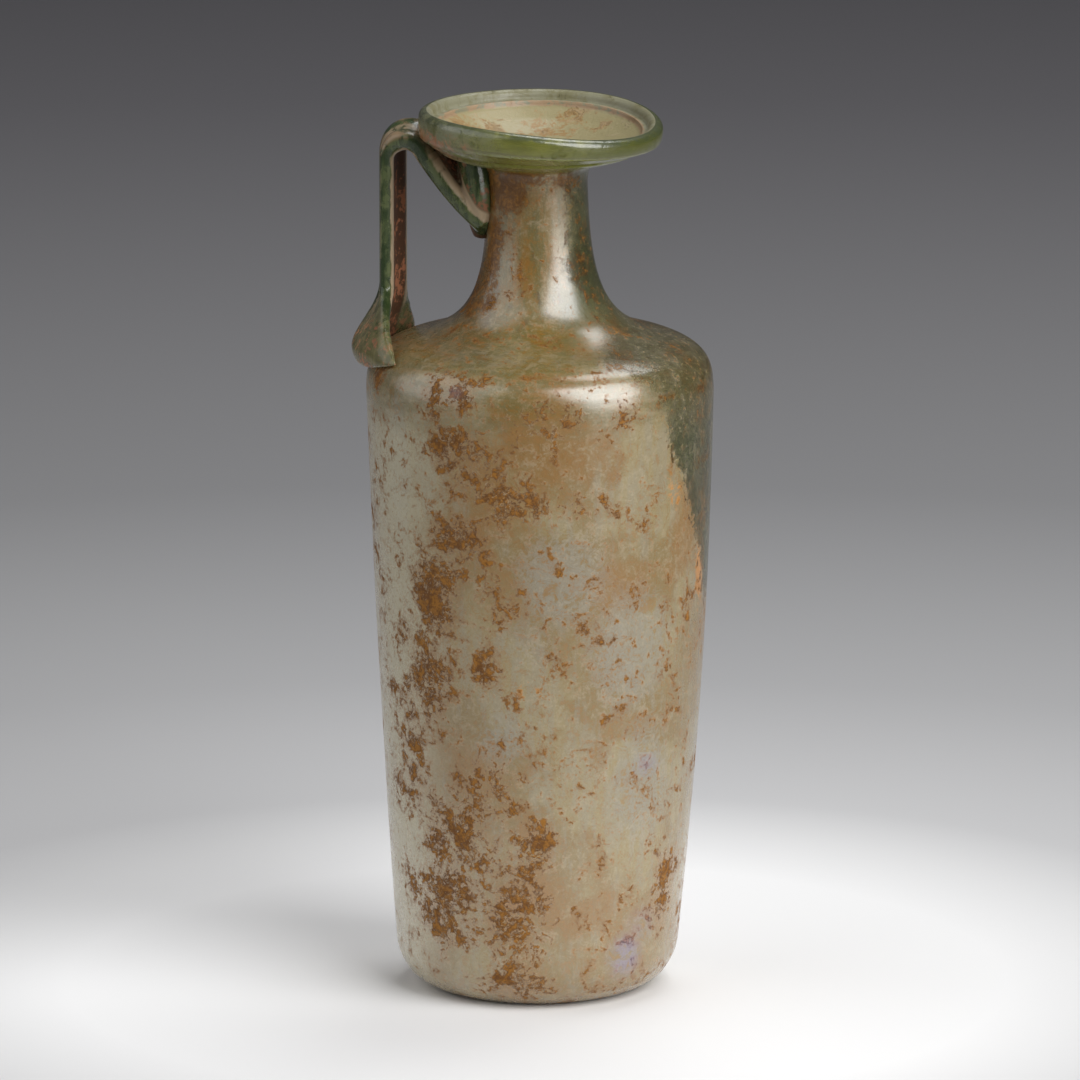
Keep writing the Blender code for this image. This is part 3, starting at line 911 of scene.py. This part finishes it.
def spin_section(name: str, section: list[Point], steps: int) -> bpy.types.Object:
    """Return a closed turned form.

    Args:
        name: The object's name.
        section: Points (radius, height) from the axis round to the axis again.
        steps: How many sides the turned form has.

    Returns:
        The new object, which isn't in the scene yet.
    """
    form = bmesh.new()
    rail = [form.verts.new((radius, 0.0, height)) for radius, height in section]
    edges = [form.edges.new(pair) for pair in zip(rail, rail[1:])]
    bmesh.ops.spin(
        form,
        geom=rail + edges,
        cent=(0, 0, 0),
        axis=(0, 0, 1),
        dvec=(0, 0, 0),
        angle=2 * pi,
        steps=steps,
        use_merge=True,
        use_normal_flip=False,
        use_duplicate=False,
    )
    bmesh.ops.remove_doubles(form, verts=form.verts[:], dist=TURNED_GAP)
    bmesh.ops.recalc_face_normals(form, faces=form.faces[:])
    return as_object(name, form)


@dataclass
class Vessel:
    """The blown flask: body, shoulder, neck and dished rim, hollow inside."""

    foot_radius: float = 0.0319
    heel_radius: float = 0.0113
    body_radius: float = 0.03892
    widest_height: float = 0.1361
    swell: float = 0.0010
    lean: float = 0.0009
    shoulder: Point = (0.0282, 0.1487)
    shoulder_slope: float = radians(15)
    shoulder_fullness: float = 0.0070
    shoulder_reach: float = 0.0100
    sweep_start: float = 0.0133
    sweep_end: float = 0.0252
    neck: Point = (0.0114, 0.1840)
    dish_bottom: Point = (0.0160, 0.1885)
    cone_foot: Point = (0.0212, 0.1898)
    band: Point = (0.0265, 0.1937)
    rim_radius: float = 0.0272
    rim_height: float = 0.1998
    lip_thickness: float = 0.0031
    fold: Point = (0.0226, 0.1968)
    fold_step: float = 0.0006
    dish_floor: Point = (0.0125, 0.1911)
    rim_sag: float = 0.0038
    sag_direction: float = radians(-18)
    sag_sharpness: float = 3.0
    base_wall: float = 0.0035
    body_wall: float = 0.0017
    shoulder_wall: float = 0.0020
    neck_wall: float = 0.0021
    push_in: float = 0.0009
    crease: float = 0.00035
    fold_lift: float = 0.0008
    unevenness: float = 0.00022
    wave_scale: Color = (40, 40, 28)
    wave_start: float = 0.004
    fold_half_width: float = 0.0012
    underside: float = 0.001
    underside_points: int = 6
    steps: int = 224
    same_place: float = 0.000005

    def outside(self) -> list[Point]:
        """Return the outline from the underside's middle to the top of the neck.

        Returns:
            Points (radius, height), upwards.
        """
        side_angle = -atan2(
            self.body_radius - self.foot_radius, self.widest_height - self.heel_radius
        )
        middle = (self.foot_radius - self.heel_radius, self.heel_radius)
        heel = arc(middle, self.heel_radius, -pi / 2, side_angle, 14)
        side = []
        spans = 26
        for i in range(1, spans):
            share = i / spans
            swell = 4 * self.swell * share * (1 - share)
            radius = blend(heel[-1][0], self.body_radius, share) + swell
            side.append((radius, blend(heel[-1][1], self.widest_height, share)))
        run = cos(self.shoulder_slope)
        rise = sin(self.shoulder_slope)
        away, up = self.shoulder
        before = (away + self.shoulder_reach * run, up - self.shoulder_reach * rise)
        after = (away - self.sweep_start * run, up + self.sweep_start * rise)
        widest = (self.body_radius, self.widest_height)
        above = (self.body_radius, self.widest_height + self.shoulder_fullness)
        corner = bezier(widest, above, before, self.shoulder, 20)
        below_neck = (self.neck[0], self.neck[1] - self.sweep_end)
        sweep = bezier(self.shoulder, after, below_neck, self.neck, 30)
        under = [(self.foot_radius * share, 0.0) for share in (0.0, 0.12, 0.24, 0.36, 0.48)]
        return under + heel + side + corner + sweep[1:]

    def lip_quarter(self, first: float, last: float) -> list[Point]:
        """Return the outline of a quarter of the rounded lip."""
        half = self.lip_thickness / 2
        return arc((self.rim_radius - half, self.rim_height - half), half, first, last, 8)

    def dish_outside(self) -> list[Point]:
        """Return the outline from the neck, under the dish, to the lip's crest.

        Returns:
            Points (radius, height), outwards and up.
        """
        above_neck = (self.neck[0], blend(self.neck[1], self.dish_bottom[1], 0.8))
        before = (blend(self.neck[0], self.dish_bottom[0], 0.3), self.dish_bottom[1])
        under = bezier(self.neck, above_neck, before, self.dish_bottom, 9)[1:]
        cone = bezier(self.dish_bottom, self.cone_foot, self.cone_foot, self.band, 14)[1:]
        crease = len(cone) - 5
        cone[crease] = (cone[crease][0] - self.crease, cone[crease][1] + self.crease)
        band = bezier(self.band, self.band, (self.rim_radius, self.band[1]),
                      (self.rim_radius, self.rim_height - self.lip_thickness), 5)[1:]
        return under + cone + band + self.lip_quarter(0.0, pi / 2)

    def dish_inside(self) -> list[Point]:
        """Return the lining of the dish, from beside the lip's crest to the bore.

        Returns:
            Points (radius, height), inwards and down.
        """
        lip = self.lip_quarter(pi / 2, pi)[1:]
        fold_low = (self.fold[0] + self.fold_step / 2, self.fold[1] - self.fold_step)
        edge = bezier(lip[-1], (lip[-1][0], self.fold[1]), self.fold, self.fold, 5)[1:]
        bore_radius = self.neck[0] - self.neck_wall
        bore = (bore_radius, blend(self.neck[1], self.dish_floor[1], 0.3))
        corner = (bore_radius, self.dish_floor[1] - self.neck_wall / 2)
        floor = bezier(fold_low, (fold_low[0] - 0.004, fold_low[1] - 0.0025),
                       (self.dish_floor[0] + 0.003, self.dish_floor[1] + 0.0006),
                       self.dish_floor, 9)
        return lip + edge + floor + bezier(self.dish_floor, corner, corner, bore, 8)[1:]

    def wall_at(self, height: float) -> float:
        """Return the wall's thickness at a height on the outside.

        Args:
            height: The height on the outside.

        Returns:
            The thickness there.
        """
        levels = (
            (2 * self.heel_radius, self.heel_radius, self.base_wall, self.body_wall),
            (self.shoulder[1], self.shoulder[1] - self.widest_height,
             self.body_wall, self.shoulder_wall),
            (self.neck[1], self.neck[1] - self.shoulder[1], self.shoulder_wall, self.neck_wall),
        )
        for top, span, low_wall, high_wall in levels:
            if height <= top:
                return blend(low_wall, high_wall, smooth_step(height, top - span, top))
        return self.neck_wall

    def inset(self, points: list[Point], distance_at: Callable[[float], float]) -> list[Point]:
        """Return an outline moved towards the axis side.

        Args:
            points: The outline, upwards.
            distance_at: How far it moves, by height.

        Returns:
            The moved outline.
        """
        moved = []
        for i, (radius, height) in enumerate(points):
            before = points[max(i - 1, 0)]
            after = points[min(i + 1, len(points) - 1)]
            run = after[0] - before[0]
            rise = after[1] - before[1]
            length = hypot(run, rise)
            distance = distance_at(height)
            moved.append((radius - distance * rise / length, height + distance * run / length))
        return moved

    def radius_at(self, height: float) -> float:
        """Return the outside's radius at a height.

        Args:
            height: The height.

        Returns:
            The radius there.
        """
        outline = self.outside()
        for (low_radius, low), (high_radius, high) in zip(outline, outline[1:]):
            if low <= height <= high and high > low:
                return blend(low_radius, high_radius, (height - low) / (high - low))
        return self.neck[0] if height > 0 else self.foot_radius

    def lean_at(self, height: float) -> float:
        """Return how far the axis stands off along +X at a height.

        Args:
            height: The height.

        Returns:
            The distance along +X.
        """
        body_share = sin(pi * min(height / self.neck[1], 1.0))
        rim_share = smooth_step(height, self.neck[1], self.rim_height)
        return self.lean * (body_share + rim_share)

    def sag_at(self, x: float, y: float, height: float) -> float:
        """Return how far the rim drops at a point of the dish.

        Args:
            x: The point's x.
            y: The point's y.
            height: The point's height.

        Returns:
            The drop, 0 below the dish.
        """
        share = ((1 + cos(atan2(y, x) - self.sag_direction)) / 2) ** self.sag_sharpness
        reach = min(hypot(x, y) / self.rim_radius, 1.0)
        return self.rim_sag * share * reach * smooth_step(
            height, self.dish_bottom[1], self.rim_height
        )

    def settle(self, place: Vector) -> Vector:
        """Return where a point of the true turned form lies in the leaning, sagging glass."""
        x, y, z = place
        return Vector((x + self.lean_at(z), y, z - self.sag_at(x, y, z)))

    def form(self) -> bpy.types.Object:
        """Turn the flask's wall, then give it its lean, its sag and its unevenness.

        Returns:
            The vessel's object.
        """
        outside = self.outside()
        inside = self.inset(outside[self.underside_points:], self.wall_at)
        section = [(0.0, self.base_wall)] + inside + self.dish_inside()[::-1]
        section += (outside + self.dish_outside())[::-1]
        vessel = spin_section("flask_body", section, self.steps)
        lining = self.dish_inside()
        level, reach, lined = (
            vessel.data.attributes.new(name, "FLOAT", "POINT") for name in RIM_MARKS
        )
        for vertex in vessel.data.vertices:
            x, y, z = vertex.co
            radius = hypot(x, y)
            level.data[vertex.index].value = z
            reach.data[vertex.index].value = radius
            if z > self.neck[1] and any(
                hypot(radius - away, z - height) < self.same_place for away, height in lining
            ):
                lined.data[vertex.index].value = 1.0
            if radius > 0 and self.wave_start < z < self.neck[1]:
                wave = noise.noise(vertex.co * Vector(self.wave_scale))
                inward = self.unevenness * (wave - 1) / 2
                x += x / radius * inward
                y += y / radius * inward
            if z > self.dish_floor[1] and abs(radius - self.fold[0]) < self.fold_half_width:
                z += self.fold_lift * (1 + sin(atan2(y, x))) / 2
            if z < self.underside:
                z += self.push_in * smooth_step(radius, self.foot_radius * 0.55, 0.004)
            vertex.co = self.settle(Vector((x, y, z)))
        return vessel


@dataclass(frozen=True)
class Station:
    """One section of the strap: where it is, and how much of each form it has."""

    away: float
    height: float
    foot: float = 0.0
    bend: float = 0.0
    tip: float = 0.0


@dataclass
class StrapHandle:
    """The applied strap with its spread foot and its end returned under the rim."""

    vessel: Vessel
    foot_end: Point = (0.0384, 0.1414)
    foot_swell: Point = (0.0413, 0.1478)
    leg_distance: float = 0.0341
    leg_bottom: float = 0.1590
    bend_height: float = 0.1880
    bend_radius: float = 0.0054
    bend_turn: float = radians(138)
    fall_sag: float = 0.0018
    fold_tip: Point = (0.0102, 0.1748)
    half_width: float = 0.0076
    arch: float = 0.0014
    thickness: float = 0.0044
    bend_thickness: float = 0.0062
    tip_thickness: float = 0.0056
    rib_depth: float = 0.0009
    foot_half_width: float = 0.0222
    foot_edge: float = 0.0288
    foot_thickness: float = 0.0066
    foot_lift: float = 0.0040
    foot_turn: float = radians(9)
    foot_thinning: float = 0.35
    foot_rounding: float = 0.45
    foot_flare: float = 1.3
    foot_softening: tuple[tuple[float, int], ...] = ((0.1570, 14), (0.1545, 22), (0.1520, 34))
    return_bottom: Point = (0.0113, 0.1706)
    return_top: Point = (0.0140, 0.1900)
    return_half_width: float = 0.0086
    return_bottom_thickness: float = 0.0040
    return_thickness: float = 0.0082
    return_thinning: float = 0.22
    hollow: float = 0.0010
    sides: int = 48
    foot_steps: int = 18
    leg_steps: int = 10
    bend_steps: int = 18
    fall_steps: int = 16
    return_steps: int = 14
    voxel: float = 0.00032
    sunk: float = 0.0003
    core_steps: int = 160
    passes: int = 4

    def bar(
        self, half_width: float, thickness: float, rib: float, hollow: float, thinning: float
    ) -> list[Point]:
        """Return a ribbed bar's section.

        Args:
            half_width: Half its width.
            thickness: Its thickness in the middle.
            rib: How deep the two grooves of its outer face are.
            hollow: How far its inner face is sunk between the edges.
            thinning: The share of the thickness that is lost at the edges.

        Returns:
            Points (sideways, outward) once round.
        """
        outline = []
        for i in range(self.sides):
            across = cos(2 * pi * i / self.sides)
            out = sin(2 * pi * i / self.sides)
            sideways = half_width * (1 if across >= 0 else -1) * abs(across) ** 0.8
            outward = thickness / 2 * (1 if out >= 0 else -1) * abs(out) ** 0.6
            share = sideways / half_width
            if out > 0:
                outward -= rib * sin(pi * share) ** 2
            else:
                outward += hollow * smooth_step(abs(share), 0.72, 0.30) * smooth_step(-out, 0, 0.4)
            outline.append((sideways, outward * (1 - thinning * share * share)))
        return outline

    def on_arch(
        self, station: Station, normal: Point, sideways: float, outward: float, arch: float
    ) -> Vector:
        """Return a bar point in space, its section arched round a centre inside the bar.

        Args:
            station: The bar's section.
            normal: Its outward direction, as (away, up).
            sideways: The point's place across the bar.
            outward: The point's place through the bar.
            arch: The radius that the section is arched with.

        Returns:
            The point.
        """
        radial = arch + outward
        turn = sideways / arch
        away = radial * cos(turn) - arch
        return Vector((
            -(station.away + away * normal[0]),
            radial * sin(turn),
            station.height + away * normal[1],
        ))

    def stations(self) -> list[Station]:
        """Return the strap's stations, from the foot to the fold tip.

        Returns:
            The stations, in order.
        """
        leg_bottom = (self.leg_distance, self.leg_bottom)
        below = (self.leg_distance, blend(self.leg_bottom, self.foot_swell[1], 0.6))
        foot = bezier(self.foot_end, self.foot_swell, below, leg_bottom, self.foot_steps)
        middle = (self.leg_distance - self.bend_radius, self.bend_height)
        bend = arc(middle, self.bend_radius, 0.0, self.bend_turn, self.bend_steps)
        reach = hypot(bend[-1][0] - self.fold_tip[0], bend[-1][1] - self.fold_tip[1]) / 3
        along = (-sin(self.bend_turn) * reach, cos(self.bend_turn) * reach)
        after = (bend[-1][0] + along[0], bend[-1][1] + along[1] - self.fall_sag)
        before = (self.fold_tip[0] - along[0], self.fold_tip[1] - along[1] - self.fall_sag)
        fall = bezier(bend[-1], after, before, self.fold_tip, self.fall_steps)
        found = []
        for i, (away, height) in enumerate(foot):
            found.append(Station(away, height, foot=1 - i / (self.foot_steps - 1)))
        for i in range(1, self.leg_steps):
            height = blend(self.leg_bottom, self.bend_height, i / self.leg_steps)
            found.append(Station(self.leg_distance, height))
        for i, (away, height) in enumerate(bend):
            share = 2 * i / (self.bend_steps - 1)
            found.append(Station(away, height, bend=min(share, 1.0)))
        for i, (away, height) in enumerate(fall[1:], 1):
            share = i / (self.fall_steps - 1)
            found.append(Station(away, height, bend=1 - share, tip=share))
        return found

    @staticmethod
    def normal(stations: list[Station], index: int) -> Point:
        """Return the strap's outward direction at a station, as (away, up).

        Args:
            stations: The strap's stations.
            index: Which of them.

        Returns:
            The direction.
        """
        if stations[index].foot > 0:
            return (1.0, 0.0)
        before = stations[index - 1]
        after = stations[min(index + 1, len(stations) - 1)]
        away = after.away - before.away
        up = after.height - before.height
        length = hypot(away, up)
        return (up / length, -away / length)

    def chord_at(self, station: Station) -> Point:
        """Return half the strap's chord, and how far its edges lie behind its middle.

        Args:
            station: The station.

        Returns:
            Half the chord, and the drop.
        """
        spread = station.foot ** self.foot_flare
        edge = blend(self.leg_distance - self.arch, self.foot_edge, spread)
        drop = station.away - edge if station.foot > 0 else self.arch
        return blend(self.half_width, self.foot_half_width, spread), drop

    def thickness_at(self, station: Station) -> float:
        """Return the strap's thickness at a station.

        Args:
            station: The station.

        Returns:
            The thickness there.
        """
        thickness = self.thickness
        for full, share in (
            (self.foot_thickness, station.foot),
            (self.bend_thickness, station.bend),
            (self.tip_thickness, station.tip),
        ):
            thickness += (full - self.thickness) * smooth_step(share, 0, 1)
        return thickness

    def strap_rings(self) -> list[list[Vector]]:
        """Return the rings of the strap, its foot spread and wrapped on the shoulder.

        The first and the last ring are flat, so that their points meet and close the ends.

        Returns:
            The rings, from the foot to the fold.
        """
        stations = self.stations()
        order = [0, *range(len(stations)), len(stations) - 1]
        rings = []
        for place, index in enumerate(order):
            station = stations[index]
            full = 0.0 if place in (0, len(order) - 1) else 1.0
            foot = station.foot
            rounding = smooth_step(foot, 0.75, 1)
            thickness = full * self.thickness_at(station) * (1 - self.foot_rounding * rounding)
            half_chord, drop = self.chord_at(station)
            arch = (drop * drop + half_chord * half_chord) / (2 * drop)
            half_width = arch * asin(min(half_chord / arch, 1.0))
            swing = Matrix.Rotation(self.foot_turn * foot, 3, "Z")
            normal = self.normal(stations, index)
            ring = []
            for sideways, outward in self.bar(
                half_width,
                thickness,
                full * self.rib_depth,
                full * self.hollow * (1 - foot),
                self.foot_thinning * foot,
            ):
                lift = self.foot_lift * foot * (sideways / half_width) ** 2
                point = self.on_arch(station, normal, sideways, outward, arch)
                ring.append(swing @ (point + Vector((0, 0, lift))))
            rings.append(ring)
        return rings

    def return_rings(self) -> list[list[Vector]]:
        """Return the rings of the strap's returned end, wrapped on the neck.

        Returns:
            The rings, upwards.
        """
        rings = []
        final = self.return_steps - 1
        for place, index in enumerate((0, *range(self.return_steps), final)):
            share = index / final
            full = 0.0 if place in (0, self.return_steps + 1) else 1.0
            station = Station(
                blend(self.return_bottom[0], self.return_top[0], share),
                blend(self.return_bottom[1], self.return_top[1], share),
            )
            fullness = sqrt(sin(pi / 2 * min(0.15 + 1.6 * share, 1.0)))
            thickness = blend(self.return_bottom_thickness, self.return_thickness, fullness)
            rings.append([
                self.on_arch(station, (1.0, 0.0), sideways, outward, station.away)
                for sideways, outward in self.bar(
                    self.return_half_width * fullness,
                    full * thickness,
                    0.0,
                    0.0,
                    self.return_thinning,
                )
            ])
        return rings

    @staticmethod
    def loft(name: str, rings: list[list[Vector]]) -> bpy.types.Object:
        """Return a closed form that is drawn through rings of points.

        Args:
            name: The object's name.
            rings: The rings in order, each with the same number of points, the ends flat.

        Returns:
            The new object.
        """
        form = bmesh.new()
        current = bmesh.ops.create_circle(form, segments=len(rings[0]), radius=0.01)["verts"]
        for vertex, place in zip(current, rings[0]):
            vertex.co = place
        edges = form.edges[:]
        for ring in rings[1:]:
            made = bmesh.ops.extrude_edge_only(form, edges=edges)["geom"]
            edges = [part for part in made if isinstance(part, bmesh.types.BMEdge)]
            fresh = {part for part in made if isinstance(part, bmesh.types.BMVert)}
            current = [
                next(e.other_vert(old) for e in old.link_edges if e.other_vert(old) in fresh)
                for old in current
            ]
            edges = [e for e in edges if all(v in fresh for v in e.verts)]
            for vertex, place in zip(current, ring):
                vertex.co = place
        bmesh.ops.remove_doubles(form, verts=form.verts[:], dist=LOFT_GAP)
        bmesh.ops.recalc_face_normals(form, faces=form.faces[:])
        return as_object(name, form)

    def form(self) -> bpy.types.Object:
        """Draw the strap and its returned end, and melt them together on the vessel.

        Returns:
            The handle's object.
        """
        strap = self.loft("strap_handle", self.strap_rings())
        returned = self.loft("returned_end", self.return_rings())
        outside = self.vessel.outside() + self.vessel.dish_outside()
        solid = [(0.0, 0.0)] + self.vessel.inset(outside[1:], lambda height: self.sunk)
        core = spin_section("vessel_core", solid + [(0.0, solid[-1][1])], self.core_steps)
        for vertex in core.data.vertices:
            vertex.co = self.vessel.settle(vertex.co)
        for other, operation in ((returned, "UNION"), (core, "DIFFERENCE")):
            join = strap.modifiers.new(operation, "BOOLEAN")
            join.object = other
            join.operation = operation
            join.solver = "EXACT"
        melt = strap.modifiers.new("melt", "REMESH")
        melt.mode = "VOXEL"
        melt.voxel_size = self.voxel
        soften = strap.modifiers.new("soften", "SMOOTH")
        soften.factor = 0.5
        soften.iterations = self.passes
        bpy.context.view_layer.update()
        seen = strap.evaluated_get(bpy.context.evaluated_depsgraph_get())
        mesh = bpy.data.meshes.new_from_object(seen)
        mesh.name = "strap_handle"
        strap.modifiers.clear()
        strap.data = mesh
        for helper in (returned, core):
            bpy.data.objects.remove(helper, do_unlink=True)
        self.soften_foot(mesh)
        mesh.shade_smooth()
        self.mark(mesh)
        return strap

    def soften_foot(self, mesh: bpy.types.Mesh) -> None:
        """Round the foot's edges as soft glass rounds itself, more towards its end.

        Args:
            mesh: The handle's mesh, which is changed.
        """
        form = bmesh.new()
        form.from_mesh(mesh)
        for top, passes in self.foot_softening:
            low = [vertex for vertex in form.verts if vertex.co.z < top]
            for _ in range(passes):
                bmesh.ops.smooth_vert(
                    form, verts=low, factor=0.5, use_axis_x=True, use_axis_y=True, use_axis_z=True
                )
        form.to_mesh(mesh)
        form.free()

    def mark(self, mesh: bpy.types.Mesh) -> None:
        """Store where each point of the handle lies in the strap's own section.

        "across" is 0 along the middle and 1 on the edges, "outward" is -1 on the inner
        face and 1 on the outer face, and "rooted" is 1 at the foot's end and -1 at the
        fold's.

        Args:
            mesh: The handle's mesh, which gets the marks.
        """
        stations = self.stations()
        kept = {name: mesh.attributes.new(name, "FLOAT", "POINT") for name in MARKS}
        for vertex in mesh.vertices:
            place = vertex.co
            near = min(
                range(len(stations)),
                key=lambda i: (stations[i].away + place.x) ** 2
                + (stations[i].height - place.z) ** 2,
            )
            station = stations[near]
            half, drop = self.chord_at(station)
            turned = Matrix.Rotation(-self.foot_turn * station.foot, 3, "Z") @ place
            across = min(abs(turned.y) / half, 1.2)
            normal = self.normal(stations, near)
            out = (-turned.x - station.away) * normal[0]
            out += (place.z - station.height) * normal[1] + drop * across * across
            kept["across"].data[vertex.index].value = across
            kept["outward"].data[vertex.index].value = 2 * out / self.thickness_at(station)
            kept["rooted"].data[vertex.index].value = station.foot - station.tip


@dataclass(frozen=True)
class SoftLight:
    """A soft area light that faces the flask.

    The turn is in degrees to the right of the camera, the elevation in degrees, the
    distance and the size in metres, and the power in watts.
    """

    name: str
    turn: float
    elevation: float
    distance: float
    size: Point
    power: float

    def add(self) -> None:
        """Add the light to the scene."""
        data = bpy.data.lights.new(self.name, "AREA")
        data.shape = "RECTANGLE"
        data.size, data.size_y = self.size
        data.energy = self.power
        light = linked(self.name, data)
        turn = radians(CAMERA_AZIMUTH + self.turn)
        rise = radians(self.elevation)
        away = Vector((sin(turn) * cos(rise), -cos(turn) * cos(rise), sin(rise)))
        light.location = away * self.distance + Vector((0, 0, 0.1))
        light.rotation_euler = away.to_track_quat("Z", "Y").to_euler()


@dataclass(frozen=True)
class Studio:
    """The pale floor with a painted pool of light that fades into grey, and the soft lights."""

    floor_radius: float = 12.0
    painted_falloff_length: float = 1.6
    # Painted light on the floor: pale round the flask and falling off to grey with distance from
    # its middle.
    ramp: tuple[tuple[float, Color], ...] = (
        (0.0, (0.90, 0.90, 0.90)),
        (0.066, (0.88, 0.88, 0.88)),
        (0.088, (0.72, 0.72, 0.72)),
        (0.11, (0.54, 0.54, 0.545)),
        (0.186, (0.39, 0.39, 0.395)),
        (0.33, (0.24, 0.24, 0.245)),
        (0.70, (0.145, 0.142, 0.150)),
        (1.0, (0.11, 0.108, 0.115)),
    )
    lights: tuple[SoftLight, ...] = (
        SoftLight("key", 45, 38, 2.0, (1.7, 1.5), 41.0),
        SoftLight("strip", 48, 10, 2.0, (1.2, 0.7), 11.0),
        SoftLight("fill", -76, 32, 1.7, (2.2, 2.2), 14.0),
        SoftLight("top", 150, 65, 1.4, (0.8, 0.8), 8.0),
    )
    backdrop: Color = linear(72, 72, 76)

    def add_floor(self) -> None:
        """Add the floor, with a painted pool of light: pale near the flask and grey further off.
        """
        form = bmesh.new()
        bmesh.ops.create_circle(form, cap_ends=True, segments=96, radius=self.floor_radius)
        floor = as_object("studio_floor", form)
        material, graph = new_material("studio_floor")
        away = graph.vector("LENGTH", graph.place(), output="Value")
        share = away * (1 / self.painted_falloff_length)
        color = graph.add("ShaderNodeValToRGB", {"stops": self.ramp}, {"Fac": share}, "Color")
        graph.finish(graph.principled(Base_Color=color, Roughness=0.7, Specular_IOR_Level=0.2))
        floor.data.materials.append(material)

    def build(self) -> None:
        """Add the floor, the lights and the grey surroundings."""
        self.add_floor()
        for light in self.lights:
            light.add()
        world = bpy.data.worlds.new("studio")
        world.use_nodes = True
        graph = Graph(world.node_tree)
        back = graph.add("ShaderNodeBackground", None, {"Color": (*self.backdrop, 1.0)})
        graph.add("ShaderNodeOutputWorld", None, {"Surface": back})
        bpy.context.scene.world = world


def show(
    piece: bpy.types.Object, node: str, material: bpy.types.Material
) -> None:
    """Dress a finished piece and let it stand for its solid.

    Args:
        piece: The finished piece.
        node: The solid that it stands for.
        material: Its material.
    """
    piece.data.materials.clear()
    piece.data.materials.append(material)
    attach(piece, "root")
    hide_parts(node)
    LOG.info("%s: %d faces", piece.name, len(piece.data.polygons))


def main() -> None:
    """Build the flask, its studio and its camera."""
    logging.basicConfig(level=logging.INFO, format="%(message)s")
    scene = bpy.context.scene
    scene.view_settings.view_transform = "Standard"
    view = Viewpoint()
    view.add_camera()
    Studio().build()
    vessel = Vessel()
    weathered = WeatheredGlass(
        view=view,
        radius_at=vessel.radius_at,
        dish_height=vessel.dish_bottom[1],
        fold_radius=vessel.fold[0],
    )
    show(vessel.form(), "vessel", weathered.make())
    handle = StrapHandle(vessel)
    green = GreenGlass(rim_underside=vessel.dish_bottom[1])
    show(handle.form(), "handle", green.make())


if __name__ == "__main__":
    main()
